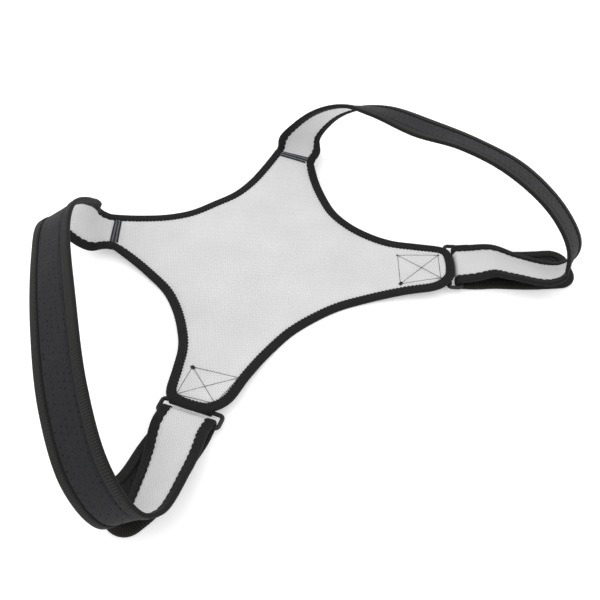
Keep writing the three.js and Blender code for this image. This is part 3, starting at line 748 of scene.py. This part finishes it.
def zigzagGroup():  # one thread that swings from side to side of its rail
    tree, given = newGroup(
        "zigzagThread",
        [
            ("Pitch", "Float", 6.3 * mm), ("Swing", "Float", 1.0 * mm), ("Thread Radius", "Float", 0.2 * mm),
            ("Lift", "Float", 0.1 * mm), ("Material", "Material", None),
        ],
    )
    facing, along = axesOf(tree)
    line = addNode(tree, "GeometryNodeMeshToCurve", {0: given.outputs["Geometry"]}).outputs[0]
    step = addNode(
        tree, "ShaderNodeMath", {0: given.outputs["Pitch"], 1: 0.25}, operation="MULTIPLY"
    ).outputs[0]
    spaced = addNode(
        tree, "GeometryNodeResampleCurve", {"Curve": line, "Length": step}, mode="LENGTH"
    ).outputs[0]
    index = addNode(tree, "GeometryNodeInputIndex").outputs[0]
    phase = addNode(tree, "ShaderNodeMath", {0: index, 1: math.pi / 2}, operation="MULTIPLY").outputs[0]
    swingShare = addNode(tree, "ShaderNodeMath", {0: phase}, operation="SINE").outputs[0]
    swing = addNode(
        tree, "ShaderNodeMath", {0: swingShare, 1: given.outputs["Swing"]}, operation="MULTIPLY"
    ).outputs[0]
    # the needle goes down at the ends of each swing, so the thread is highest in between
    dipShare = addNode(tree, "ShaderNodeMath", {0: swingShare}, operation="ABSOLUTE").outputs[0]
    dip = addNode(tree, "ShaderNodeMath", {0: 0.35, 1: dipShare}, operation="SUBTRACT").outputs[0]
    lift = addNode(
        tree, "ShaderNodeMath", {0: dip, 1: given.outputs["Lift"]}, operation="MULTIPLY"
    ).outputs[0]
    sideways = addNode(
        tree, "ShaderNodeVectorMath", {0: facing, 1: along}, operation="CROSS_PRODUCT"
    ).outputs[0]
    across = addNode(
        tree, "ShaderNodeVectorMath", {0: sideways, "Scale": swing}, operation="SCALE"
    ).outputs[0]
    raised = addNode(tree, "ShaderNodeVectorMath", {0: facing, "Scale": lift}, operation="SCALE").outputs[0]
    offset = addNode(tree, "ShaderNodeVectorMath", {0: across, 1: raised}, operation="ADD").outputs[0]
    moved = addNode(tree, "GeometryNodeSetPosition", {"Geometry": spaced, "Offset": offset}).outputs[0]
    ring = addNode(
        tree, "GeometryNodeCurvePrimitiveCircle", {"Resolution": 5, "Radius": given.outputs["Thread Radius"]}
    ).outputs[0]
    made = addNode(
        tree, "GeometryNodeCurveToMesh", {"Curve": moved, "Profile Curve": ring, "Fill Caps": True}
    ).outputs[0]
    closeGroup(tree, made, given.outputs["Material"])
    return tree


def holeGroup():  # a punched hole at each point
    tree, given = newGroup(
        "punchedHoles",
        [
            ("Hole Radius", "Float", 0.6 * mm), ("Depth", "Float", 0.2 * mm), ("Unevenness", "Float", 0.15),
            ("Seed", "Int", 3), ("Material", "Material", None),
        ],
    )
    facing, along = axesOf(tree)
    disc = addNode(
        tree, "GeometryNodeMeshCylinder",
        {"Vertices": 10, "Radius": given.outputs["Hole Radius"], "Depth": given.outputs["Depth"]},
    ).outputs[0]
    turned = addNode(
        tree, "FunctionNodeAxesToRotation", {"Primary Axis": facing, "Secondary Axis": along},
        primary_axis="Z", secondary_axis="X",
    ).outputs[0]
    chance = unevenShare(tree, given)
    sizes = addNode(tree, "ShaderNodeCombineXYZ", {0: chance, 1: chance, 2: 1.0}).outputs[0]
    made = addNode(
        tree, "GeometryNodeInstanceOnPoints",
        {"Points": given.outputs["Geometry"], "Instance": disc, "Rotation": turned, "Scale": sizes},
    ).outputs[0]
    closeGroup(tree, made, given.outputs["Material"])
    return tree


stitchTree = stitchGroup()
zigzagTree = zigzagGroup()
holeTree = holeGroup()


def rail(points, facing, along, side=1):  # in millimetres; the directions are mirrored with the side
    flip = np.array([side, 1, 1])
    return dict(points=place(points, side), facing=unit(facing) * flip, along=unit(along) * flip)


def grow(name, tree, rails, joined=True, **values):  # runs a tree on rails and keeps what it makes as a mesh
    mesh = bpy.data.meshes.new(name + "_rails")
    points = np.vstack([r["points"] for r in rails])
    edges, first = [], 0
    for r in rails:
        count = len(r["points"])
        if joined:
            edges += [(first + i, first + i + 1) for i in range(count - 1)]
        first += count
    mesh.from_pydata([tuple(p) for p in points], edges, [])
    for key in ("facing", "along"):
        kept = mesh.attributes.new(key, "FLOAT_VECTOR", "POINT")
        kept.data.foreach_set("vector", np.vstack([r[key] for r in rails]).astype(np.float32).ravel())
    holder = addObject(name + "_rails", mesh)
    modifier = holder.modifiers.new("grow", "NODES")
    modifier.node_group = tree
    named = {item.name: item.identifier for item in tree.interface.items_tree if item.in_out == "INPUT"}
    for label, value in values.items():
        modifier[named[label.replace("_", " ")]] = value
    evaluated = holder.evaluated_get(bpy.context.evaluated_depsgraph_get())
    grown = bpy.data.meshes.new_from_object(evaluated)
    grown.name = name
    holder.modifiers.clear()
    bpy.data.objects.remove(holder)
    bpy.data.meshes.remove(mesh)
    return addObject(name, grown)


# Straps

tape = dict(scallopPitch=5.2, panelPitch=3.4, scallopDepth=1.2, threadLevel=1.92)
padding = dict(flatTo=8.0, swell=4.5, pucker=0.22, puckerAt=9.5, drift=0.12)
seamFlat = 5.0


# distance in from the strap's sewn outline, round the tab's corners too
def strapInset(word, lengths, across):
    end = straps[word]["length"][-1]
    corner = loop["tabCorner"]
    q = np.abs(across) - (cloth["halfWidth"] - corner)
    s = lengths - (end - corner)
    outside = np.hypot(np.maximum(q, 0), np.maximum(s, 0)) + np.minimum(np.maximum(q, s), 0)
    return corner - outside


def clothHalf(inset):  # pressed flat under the tape, full height a few millimetres in
    return mixed(cloth["sewnHalf"], cloth["half"], smooth((inset - padding["flatTo"]) / padding["swell"]))


def pucker(lengths, inset, pitch):  # the zigzag draws the cloth down beside the tape
    wave = 0.5 + 0.5 * np.cos(2 * np.pi * lengths / pitch)
    return -padding["pucker"] * wave * np.exp(-np.abs(inset - padding["puckerAt"]) / 2.5)


def strapFace(word, light):
    ribbon = straps[word]
    end = ribbon["length"][-1]
    roundStart = end - loop["tabCorner"]
    reach = loop["tabCorner"] - cloth["coreInset"]
    lengths = np.arange(0.05, roundStart, tape["scallopPitch"] / 4)
    tip = roundStart + reach * np.sin(np.radians(np.linspace(0, 90, 14)))
    lengths = np.concatenate([lengths, tip])
    ahead = np.clip((lengths - roundStart) / reach, 0, 1)
    edge = cloth["halfWidth"] - loop["tabCorner"] + reach * np.sqrt(1 - ahead**2)
    # closer together beside the tape, where the cloth is drawn down
    shares = np.array([0, 0.12, 0.25, 0.36, 0.44, 0.5, 0.54, 0.58, 0.62, 0.66, 0.7, 0.76, 0.84, 0.92, 1.0])
    shares = np.concatenate([-shares[:0:-1], shares])
    across = edge[:, None] * shares[None]
    along = np.repeat(lengths[:, None], len(shares), axis=1)
    inset = strapInset(word, along, across)
    half = clothHalf(inset) + pucker(along, inset, tape["scallopPitch"])
    start = smooth((along - seamFlat) / 3)
    half = cloth["sewnHalf"] + (half - cloth["sewnHalf"]) * start
    drift = np.sin(along / 9.0 + across / 7.0) * np.sin(along / 23.0) * smooth((inset - 9) / 6)
    sign = 1 if light else -1
    upper = onStrap(word, along, across, sign * (half + padding["drift"] * drift))
    lower = onStrap(word, along, across, np.full_like(along, sign * 0.02))
    sections = np.concatenate([upper, lower[:, ::-1]], axis=1)
    flat = np.stack([along, across], axis=2)
    uv = np.concatenate([flat, flat[:, ::-1]], axis=1)
    name = f"strap_{word}_mesh_face" if light else f"strap_{word}_outer_face"
    material = meshMaterial if light else outerMaterial
    return loftPiece(name, sections, [material], uv, sideSign[word])


# distance in and height of the folded tape; lobe is 0 where the zigzag pulls the edge back
def tapeProfile(lobe):
    wide = cloth["tapeWidth"] - tape["scallopDepth"] * (1 - lobe)
    far = cloth["tapeWidth"] + 0.2 * lobe
    puff = 0.12 * lobe
    rows = [
        (wide - 0.1, 0.76), (wide, 1.0), (wide - 0.15, 1.3), (wide - 0.6, 1.5 + puff),
        (wide - 1.6, 1.78 + puff), (wide - 3.2, 1.95), (3.4, 1.98), (1.9, 1.95), (0.9, 1.72), (0.3, 1.2),
        (0.03, 0.5), (0.0, 0.0), (0.03, -0.5), (0.3, -1.2), (0.9, -1.72), (1.9, -1.95), (3.4, -1.98),
        (5.6, -1.98), (7.3, -1.9), (far - 0.5, -1.6),
        (far, -1.2), (far - 0.1, -0.76), (7.0, -0.76), (1.4, -0.76), (1.05, 0.0), (1.4, 0.76), (5.0, 0.76),
    ]
    return np.array(rows)


def tapeRun():  # how far each profile point is over the fold, for the tape's own pattern
    flat = tapeProfile(1.0)
    steps = np.linalg.norm(np.diff(flat, axis=0), axis=1)
    return np.concatenate([[0], np.cumsum(steps)])


def lobes(lengths, pitch, fromSeam):  # small teeth with narrow notches between them, none right at a seam
    teeth = np.abs(np.sin(np.pi * lengths / pitch)) ** 0.6
    return mixed(1, teeth, smooth((fromSeam - 3) / 4))


def foldedTape(run, pitch):  # distance in, height and weave for every station along a tape
    lobe = lobes(run, pitch, np.minimum(run, run[-1] - run))
    profiles = np.stack([tapeProfile(value) for value in lobe])
    return profiles[..., 0], profiles[..., 1], weaveGrid(run[:, None], tapeRun()[None])


def strapTape(word):
    ribbon = straps[word]
    end = ribbon["length"][-1]
    corner = loop["tabCorner"]
    roundStart = end - corner
    step = tape["scallopPitch"] / 6
    straight = np.arange(0.02, roundStart - step / 2, step)
    stations = [(s, cloth["halfWidth"], 0.0, -1.0) for s in straight]
    for angle in np.linspace(0, 90, 26):
        a = math.radians(angle)
        spot = (roundStart + corner * math.sin(a), cloth["halfWidth"] - corner + corner * math.cos(a))
        stations.append((*spot, -math.sin(a), -math.cos(a)))
    flatHalf = cloth["halfWidth"] - corner
    for spot in np.linspace(flatHalf, 0, 7)[1:]:
        stations.append((end, spot, -1.0, 0.0))
    stations = np.array(stations)
    mirror = stations[-2::-1] * np.array([1, -1, 1, -1])
    stations = np.vstack([stations, mirror])
    run = np.concatenate([[0], np.cumsum(np.hypot(*np.diff(stations[:, :2], axis=0).T))])
    inwards, high, uv = foldedTape(run, tape["scallopPitch"])
    lengths = stations[:, 0:1] + stations[:, 2:3] * inwards
    across = stations[:, 1:2] + stations[:, 3:4] * inwards
    sections = onStrap(word, lengths, across, high)
    return loftPiece(f"strap_{word}_edge_tape", sections, [tapeMaterial], uv, sideSign[word])


def strapRail(word, lengths, across, high, face):  # face 1 is the light side, -1 the dark one
    spot = onStrap(word, lengths, across, high)
    raised = onStrap(word, lengths, across, high + face)
    along = np.gradient(spot, axis=0)
    return rail(spot, raised - spot, along, sideSign[word])


pieces = {}
for word in ("left", "right"):
    pieces[f"strap_{word}_mesh_face"] = strapFace(word, True)
    pieces[f"strap_{word}_outer_face"] = strapFace(word, False)
    pieces[f"strap_{word}_edge_tape"] = strapTape(word)
print("stage: straps lofted")

# Panel

panelGrid = dict(pitch=2.2, seamFlat=5.0, ripple=0.22)
# corners of the two sewn boxes, in the order they are sewn, in millimetres
boxes = {
    "left": dict(corners=[(-118.5, 50.6), (-91.4, 19.7), (-121.0, 6.9), (-142.8, 32.1)], knot=0),
    "right": dict(corners=[(108.1, 58.3), (137.2, 33.8), (120.2, 10.2), (87.1, 27.9)], knot=3),
}


def boxLines(word):
    c = [np.array(p, float) for p in boxes[word]["corners"]]
    return [(c[0], c[1]), (c[1], c[2]), (c[2], c[3]), (c[3], c[0]), (c[0], c[2]), (c[1], c[3])]


def panelOutline(inset, back):
    neck = neckEdge["at"][::4] + neckEdge["inward"][::4] * inset
    lower = lowerEdge["at"][::4] + lowerEdge["inward"][::4] * inset
    for edge in (neck, lower):
        edge[0] -= seamAlong * back
        edge[-1] -= seamAlong * mirrored * back
    leftSeam = np.linspace(neck[-1], lower[-1], 22)[1:-1]
    rightSeam = np.linspace(lower[0], neck[0], 22)[1:-1]
    return np.vstack([neck, leftSeam, lower[::-1], rightSeam])


def insideOf(outline, points):
    a, b = outline, np.roll(outline, -1, axis=0)
    found = np.zeros(len(points), bool)
    for (ax, ay), (bx, by) in zip(a, b):
        crosses = (ay > points[:, 1]) != (by > points[:, 1])
        if ay != by:
            found ^= crosses & (points[:, 0] < (bx - ax) * (points[:, 1] - ay) / (by - ay) + ax)
    return found


def panelPlan():
    outline = panelOutline(cloth["coreInset"], -0.38)
    low, high = outline.min(0), outline.max(0)
    pitch = panelGrid["pitch"]
    grid = []
    for row, y in enumerate(np.arange(low[1], high[1], pitch * 0.866)):
        xs = np.arange(low[0] + (row % 2) * pitch / 2, high[0], pitch)
        grid.append(np.column_stack([xs, np.full(len(xs), y)]))
    grid = np.vstack(grid)
    grid = grid[insideOf(outline, grid)]
    tree = KDTree(len(outline))
    for i, p in enumerate(outline):
        tree.insert((*p, 0), i)
    tree.balance()
    clear = np.array([tree.find((*p, 0))[2] > pitch * 0.55 for p in grid])
    points = np.vstack([outline, grid[clear]])
    loopEdges = [(i, (i + 1) % len(outline)) for i in range(len(outline))]
    made = delaunay_2d_cdt([tuple(p) for p in points], loopEdges, [], 1, 1e-6)
    plan = np.array([tuple(p) for p in made[0]])
    faces = list(made[2])
    sides = dict.fromkeys((a, b) for f in faces for a, b in zip(f, f[1:] + f[:1]))
    border = [(a, b) for a, b in sides if (b, a) not in sides]
    return plan, faces, border


plan, planFaces, planBorder = panelPlan()
edgeTree = KDTree(len(neckEdge["at"]) + len(lowerEdge["at"]))
edgeLengths = np.concatenate([neckEdge["length"], lowerEdge["length"]])
for i, p in enumerate(np.vstack([neckEdge["at"], lowerEdge["at"]])):
    edgeTree.insert((*p, 0), i)
edgeTree.balance()
nearest = [edgeTree.find((*p, 0)) for p in plan]
planInset = np.array([n[2] for n in nearest])
planRun = edgeLengths[[n[1] for n in nearest]]
folded = np.column_stack([np.abs(plan[:, 0]), plan[:, 1]])
planSeam = -(folded - seamMiddle) @ seamAlong


def distanceTo(points, a, b):
    share = np.clip(((points - a) @ (b - a)) / ((b - a) @ (b - a)), 0, 1)[:, None]
    return np.linalg.norm(points - a - share * (b - a), axis=1)


def panelHalf(light):
    half = clothHalf(planInset) + pucker(planRun, planInset, tape["panelPitch"])
    half = cloth["sewnHalf"] + (half - cloth["sewnHalf"]) * smooth((planSeam - panelGrid["seamFlat"]) / 3)
    if light:
        for word in boxes:
            for a, b in boxLines(word):
                half -= 0.35 * np.exp(-((distanceTo(plan, a, b) / 1.5) ** 2)) * smooth((planInset - 8) / 3)
    x, y = plan.T
    broad = np.sin(x / 17 + y / 29) * np.sin(y / 21 - x / 47)
    ripple = broad + 0.6 * np.sin(x / 7.3 - y / 11) * np.sin(y / 9.1 + x / 31)
    return half + panelGrid["ripple"] * ripple * smooth((planInset - 10) / 14)


def panelFace(light):
    sign = 1 if light else -1
    upper = onPanel(plan, sign * panelHalf(light))
    lower = onPanel(plan, sign * 0.02)
    count = len(plan)
    top = planFaces if light else [f[::-1] for f in planFaces]
    faces = [list(f) for f in top] + [[i + count for i in f[::-1]] for f in top]
    for a, b in planBorder:
        faces.append([b, a, a + count, b + count] if light else [a, b, b + count, a + count])
    points = place(np.vstack([upper, lower]))
    if volumeOf(points - points.mean(0), faces) < 0:
        faces = [f[::-1] for f in faces]
    uv = np.vstack([plan, plan])
    name = "back_panel_mesh_face" if light else "back_panel_outer_face"
    return addPiece(name, points, faces, [meshMaterial if light else outerMaterial], uv)


def panelTape(name, edge):
    run = edge["length"]
    inwards, high, uv = foldedTape(run, tape["panelPitch"])
    xy = edge["at"][:, None] + edge["inward"][:, None] * inwards[..., None]
    # the ends lean like the straps' first faces, so no slit opens between them
    lean = seamGap["middle"] - seamGap["slope"] * high[0] - seamGap["clear"]
    xy[0] += seamAlong * lean[:, None]
    xy[-1] += seamAlong * mirrored * lean[:, None]
    rows, size = inwards.shape
    sections = onPanel(xy.reshape(-1, 2), high.ravel()).reshape(rows, size, 3)
    return loftPiece(name, sections, [tapeMaterial], uv)


pieces["back_panel_mesh_face"] = panelFace(True)
pieces["back_panel_outer_face"] = panelFace(False)
pieces["panel_neck_edge_tape"] = panelTape("panel_neck_edge_tape", neckEdge)
pieces["panel_lower_edge_tape"] = panelTape("panel_lower_edge_tape", lowerEdge)
print("stage: panel made,", len(plan), "points")

# Stitching

sewing = dict(tapeLine=6.9, boxLevel=1.18, knotLevel=1.3, knotSpread=0.9)
tapeStitch = dict(Swing=0.9 * mm, Thread_Radius=0.2 * mm, Lift=0.12 * mm, Material=blackThread)
boxStitch = dict(
    Pitch=3.0 * mm, Stitch_Length=2.9 * mm, Thread_Radius=0.2 * mm, Slant=0.05, Sink=0.12 * mm,
    Unevenness=0.05, Seed=11, Material=blackThread,
)
knotStitch = dict(
    Pitch=0.7 * mm, Stitch_Length=1.7 * mm, Thread_Radius=0.34 * mm, Slant=0.9, Sink=0.12 * mm,
    Unevenness=0.15, Seed=23, Material=blackThread,
)


def panelRail(xy, high):
    spot = onPanel(xy, high)
    facing = np.repeat([[0, 0, float(np.sign(high))]], len(spot), axis=0)
    return rail(spot, facing, np.gradient(spot, axis=0))


for word in ("left", "right"):
    end = straps[word]["length"][-1]
    lengths = np.arange(1.0, end - loop["tabCorner"], 1.5)
    rails = []
    for side in (1, -1):
        spread = side * (cloth["halfWidth"] - sewing["tapeLine"])
        for face in (1, -1):
            level = np.full_like(lengths, face * tape["threadLevel"])
            rails.append(strapRail(word, lengths, np.full_like(lengths, spread), level, face))
    name = f"strap_{word}_edge_stitching"
    pieces[name] = grow(name, zigzagTree, rails, Pitch=tape["scallopPitch"] * mm, **tapeStitch)

rails = [
    panelRail(edge["at"] + edge["inward"] * sewing["tapeLine"], face * tape["threadLevel"])
    for edge in (neckEdge, lowerEdge)
    for face in (1, -1)
]
pieces["panel_edge_stitching"] = grow(
    "panel_edge_stitching", zigzagTree, rails, Pitch=tape["panelPitch"] * mm, **tapeStitch
)


def boxRails(word):
    steps = np.linspace(0, 1, 24)[:, None]
    return [panelRail(a + (b - a) * steps, sewing["boxLevel"]) for a, b in boxLines(word)]


def knotRails(word):  # the thread is locked by a few stitches back and forth at one corner
    corner = np.array(boxes[word]["corners"][boxes[word]["knot"]], float)
    middle = np.mean(boxes[word]["corners"], axis=0)
    way = unit(corner - middle)
    found = []
    steps = np.linspace(-2.0, 0.8, 9)[:, None]
    for spread in (-sewing["knotSpread"], 0, sewing["knotSpread"]):
        xy = corner + way * steps + np.array([-way[1], way[0]]) * spread
        found.append(panelRail(xy, sewing["knotLevel"]))
    return found


for kind, railsOf, stitch in (("stitching", boxRails, boxStitch), ("knot", knotRails, knotStitch)):
    for word in ("left", "right"):
        name = f"box_{kind}_{word}"
        pieces[name] = grow(name, stitchTree, railsOf(word), **stitch)
print("stage: stitching sewn")

# Seam bands

seamBand = dict(length=7.0, halfWidth=14.6, base=0.78, crown=1.5)
# two rows of each kind, at the same distance before and behind the band's middle
bandRows = {
    "zigzag": dict(offset=1.45, level=1.5, stitch=dict(
        Pitch=1.75 * mm, Stitch_Length=1.9 * mm, Thread_Radius=0.34 * mm, Slant=0.9, Sink=0.14 * mm,
        Unevenness=0.2, Seed=9, Material=greyThread,
    )),
    "edge_rows": dict(offset=3.35, level=1.25, stitch=dict(
        Pitch=1.5 * mm, Stitch_Length=1.5 * mm, Thread_Radius=0.4 * mm, Slant=0.25, Sink=0.1 * mm,
        Unevenness=0.1, Seed=5, Material=blackThread,
    )),
}


def onBand(word, spans, ahead, high):  # flat on the panel behind the seam, with the strap's twist ahead of it
    ribbon = straps[word]
    at, across, up = ribbon["at"][0], ribbon["across"][0], ribbon["up"][0]
    spans, ahead, high = np.broadcast_arrays(spans, ahead, high)
    behind = at + across * spans[..., None] + np.cross(across, up) * ahead[..., None] + up * high[..., None]
    return np.where(ahead[..., None] > 0, onStrap(word, np.maximum(ahead, 0), spans, high), behind)


def bandPiece(word):
    shares = np.linspace(-1, 1, 15)
    spans = np.linspace(-1, 1, 25)
    top = seamBand["base"] + (seamBand["crown"] - seamBand["base"]) * (1 - shares**4)
    crown = np.stack([shares * seamBand["length"] / 2, top], axis=1)
    profile = np.concatenate([crown, [[3.3, 0.74], [-3.3, 0.74]]])
    ribs = 0.06 * np.cos(spans * 24)
    wide, ahead = (spans * seamBand["halfWidth"])[:, None], profile[None, :, 0]
    sections = onBand(word, wide, ahead, profile[None, :, 1] + ribs[:, None])
    uv = weaveGrid(wide, ahead)
    return loftPiece(f"seam_band_{word}_ribbon", sections, [bandMaterial], uv, sideSign[word])


def bandRails(word, middle, high):
    spans = np.linspace(-seamBand["halfWidth"], seamBand["halfWidth"], 40)
    found = []
    for offset in (-middle, middle):
        spot = onBand(word, spans, offset, high)
        raised = onBand(word, spans, offset, high + 1)
        found.append(rail(spot, raised - spot, np.gradient(spot, axis=0), sideSign[word]))
    return found


for word in ("left", "right"):
    pieces[f"seam_band_{word}_ribbon"] = bandPiece(word)
    for kind, row in bandRows.items():
        name = f"seam_band_{word}_{kind}"
        pieces[name] = grow(name, stitchTree, bandRails(word, row["offset"], row["level"]), **row["stitch"])
print("stage: seam bands sewn")

# Rings and webbing

ringForm = dict(sides=20, cornerSteps=8)
webbingForm = dict(thickness=1.2, width=38, run=40, gap=0.3, clear=0.3)


def ringPiece(word):
    centre = outerBar(barSlide[word]) - armAlong * bar["spacing"] / 2
    halfAlong = bar["spacing"] / 2
    halfAcross = cloth["halfWidth"] + bar["sideRoom"] + bar["radius"]
    corner = bar["corner"]
    path = []
    for quarter in range(4):
        signAlong = 1 if quarter in (0, 3) else -1
        signAcross = 1 if quarter < 2 else -1
        for step in range(ringForm["cornerSteps"] + 1):
            angle = math.pi / 2 * (quarter + step / ringForm["cornerSteps"])
            path.append((
                signAlong * (halfAlong - corner) + corner * math.cos(angle),
                signAcross * (halfAcross - corner) + corner * math.sin(angle),
                angle,
            ))
    path = np.array(path)
    outwards = np.stack([np.cos(path[:, 2]), np.sin(path[:, 2])], axis=1)
    turns = 2 * np.pi * (np.arange(ringForm["sides"]) + 0.5) / ringForm["sides"]
    out = bar["radius"] * np.cos(turns)
    # a fine mould line stands round the widest part
    out = out + 0.05 * np.sign(np.cos(turns)) * (np.abs(np.sin(turns)) < 0.2)
    xy = path[:, None, :2] + outwards[:, None] * out[None, :, None]
    flat = centre + xy[..., 0:1] * armAlong + xy[..., 1:2] * armAcross
    high = np.broadcast_to(bar["level"] + bar["radius"] * np.sin(turns), flat.shape[:2])
    sections = np.concatenate([flat, high[..., None]], axis=2)
    uv = np.zeros((*flat.shape[:2], 2))
    return loftPiece(f"ring_{word}_moulded", sections, [ringMaterial], uv, sideSign[word], closed=True)


def webbingPiece(word):
    inner = outerBar(0) - armAlong * bar["spacing"]
    half = webbingForm["thickness"] / 2
    radius = bar["radius"] + webbingForm["clear"] + half

    def topAt(along):
        xy = (inner + armAlong * along)[None]
        return panelHeight(xy)[0] - cloth["tapeHalf"] - webbingForm["clear"] - half

    path = [(-s * webbingForm["run"], topAt(-s * webbingForm["run"])) for s in np.linspace(1, 0.28, 14)]
    for angle in np.linspace(0, math.pi, 21):
        path.append((radius * math.sin(angle), bar["level"] + radius * math.cos(angle)))
    lower = webbingForm["thickness"] + webbingForm["gap"]
    back = [-s * webbingForm["run"] for s in np.linspace(0.4, 1, 12)]
    path += [(along, topAt(along) - lower) for along in back]
    path = np.array(path)
    way = unit(np.gradient(path, axis=0))
    normal = np.stack([-way[:, 1], way[:, 0]], axis=1)
    run = lengthsAlong(path)
    # across the webbing: rounded selvedges
    upper = [(-1, 0.0), (-0.985, 0.7), (-0.95, 1.0), (-0.5, 1.0), (0, 1.0), (0.5, 1.0), (0.95, 1.0)]
    upper += [(0.985, 0.7)]
    shape = np.array(upper + [(-across, -high) for across, high in upper])
    width = webbingForm["width"] / 2
    plane = path[:, None] + normal[:, None] * (shape[None, :, 1:2] * half)
    xy = inner + plane[..., 0:1] * armAlong + (shape[None, :, 0:1] * width) * armAcross
    sections = np.concatenate([xy, plane[..., 1:2]], axis=2)
    uv = weaveGrid(run[:, None], shape[None, :, 0] * width)
    return loftPiece(f"ring_webbing_{word}_woven", sections, [webbingMaterial], uv, sideSign[word])


for word in ("left", "right"):
    pieces[f"ring_{word}_moulded"] = ringPiece(word)
    pieces[f"ring_webbing_{word}_woven"] = webbingPiece(word)
print("stage: rings and webbing made")

# Punched holes in the outer face

holes = dict(pitch=5.6, rows=5, spreadHalf=12.0, wander=0.9)
punch = dict(Hole_Radius=0.42 * mm, Depth=0.24 * mm, Unevenness=0.4, Seed=3, Material=holeMaterial)


def holeRails(word):
    ribbon = straps[word]
    end = ribbon["length"][-1] - 14
    found = []
    chance = np.random.default_rng(31)
    gap = 2 * holes["spreadHalf"] / (holes["rows"] - 1)
    for row in range(holes["rows"]):
        across = -holes["spreadHalf"] + row * gap
        lengths = np.arange(12 + (row % 2) * holes["pitch"] / 2, end, holes["pitch"])
        # the laminate stretches after punching, so no hole stands quite in its row
        lengths = lengths + chance.uniform(-1, 1, len(lengths)) * holes["wander"]
        across = across + 0.7 * np.sin(lengths / 13 + row * 2.1)
        across = across + chance.uniform(-1, 1, len(lengths)) * holes["wander"]
        found.append(strapRail(word, lengths, across, np.full_like(lengths, -cloth["half"] - 0.02), -1))
    return found


for word in ("left", "right"):
    name = f"strap_{word}_punched_holes"
    pieces[name] = grow(name, holeTree, holeRails(word), False, **punch)
print("stage: holes punched")

# What rides and replaces

stands = {
    "back_panel_mesh_face": ["back_panel"],
    "panel_neck_edge_tape": ["panel_binding_neck"],
    "panel_lower_edge_tape": ["panel_binding_lower"],
}
for word in ("left", "right"):
    stands[f"strap_{word}_mesh_face"] = [f"strap_{word}"]
    stands[f"strap_{word}_edge_tape"] = [f"strap_binding_{word}"]
    stands[f"seam_band_{word}_ribbon"] = [f"seam_band_{word}"]
    stands[f"ring_{word}_moulded"] = [f"ring_{word}"]
    stands[f"ring_webbing_{word}_woven"] = [f"ring_webbing_{word}"]
for name, piece in pieces.items():
    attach(piece, "root")
    if name in stands:
        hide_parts(*stands[name])

# the pieces sewn onto the panel, by name
sewnOn = ["panel_neck_edge_tape", "panel_lower_edge_tape", "panel_edge_stitching"]
sewnOn += ["box_stitching_left", "box_stitching_right", "box_knot_left", "box_knot_right"]

# Floor, light and camera

studio = dict(floorHalf=3.0, paper="#fbfbfb", keyPower=6.0, keySize=2.4, fillPower=4.0, world=1.05, glow=0.3)


def paperFloor():
    # matt white background paper with a painted glow of its own in place of a lamp below it:
    # faint fibre tone, no gloss, its glow washing out the shadows and lighting the undersides
    material, tree, spot = newTree("backgroundPaperMattGlowing", False)
    fibre = addNode(
        tree, "ShaderNodeTexNoise", {"Vector": spot, "Scale": 300.0, "Detail": 3.0}
    ).outputs["Fac"]
    colour = addNode(
        tree, "ShaderNodeMix", {0: fibre, 6: linear("#f6f6f6"), 7: linear(studio["paper"])}, data_type="RGBA"
    ).outputs[2]
    closeTree(
        # the emission is the painted glow
        tree, colour, fibre, (0.05, 0.05), None, 0.9, Specular_IOR_Level=0.1, Emission_Color=(1, 1, 1, 1),
        Emission_Strength=studio["glow"],
    )
    half = studio["floorHalf"]
    corners = [(-half, -half, 0), (half, -half, 0), (half, half, 0), (-half, half, 0)]
    floor = addPiece("floor", corners, [(0, 1, 2, 3)], [material])


paperFloor()


def areaLight(name, location, aim, size, power):
    data = bpy.data.lights.new(name, "AREA")
    data.shape, data.size, data.energy = "DISK", size, power
    lamp = addObject(name, data)
    way = np.array(aim, float) - np.array(location, float)
    lamp.location = location
    lamp.rotation_euler = Vector(way).to_track_quat("-Z", "Y").to_euler()


areaLight("key", (-0.5, 0.5, 1.5), (0, 0, 0), studio["keySize"], studio["keyPower"])
areaLight("fill", (0.9, -0.9, 1.2), (0, 0, 0), studio["keySize"], studio["fillPower"])
world = bpy.data.worlds.new("softStudio")
bpy.context.scene.world = world
world.use_nodes = True
world.node_tree.nodes["Background"].inputs["Color"].default_value = (1, 1, 1, 1)
world.node_tree.nodes["Background"].inputs["Strength"].default_value = studio["world"]

# the photo's view: place in the part's own frame, focal length for a 36 mm sensor over 600 pixels
view = dict(
    at=(-230.2, -281.1, 495.6), right=(0.83316, -0.55303, 0.0), ahead=(0.35763, 0.53879, -0.76278), lens=42.0
)
camera = addObject("camera", bpy.data.cameras.new("camera"))
camera.data.sensor_width, camera.data.lens = 36.0, view["lens"]
camera.data.clip_start, camera.data.clip_end = 0.01, 20.0
right = unit(np.array(view["right"]))
ahead = unit(np.array(view["ahead"]))
upward = np.cross(right, ahead)
turn = Matrix([[right[k], upward[k], -ahead[k]] for k in range(3)])
camera.matrix_world = Matrix.Translation(place([view["at"]])[0]) @ turn.to_4x4()
bpy.context.scene.camera = camera
# the photo's tones are plain: white paper stays white and black cloth black
bpy.context.scene.view_settings.view_transform = "Standard"
print("stage: camera and lights set")
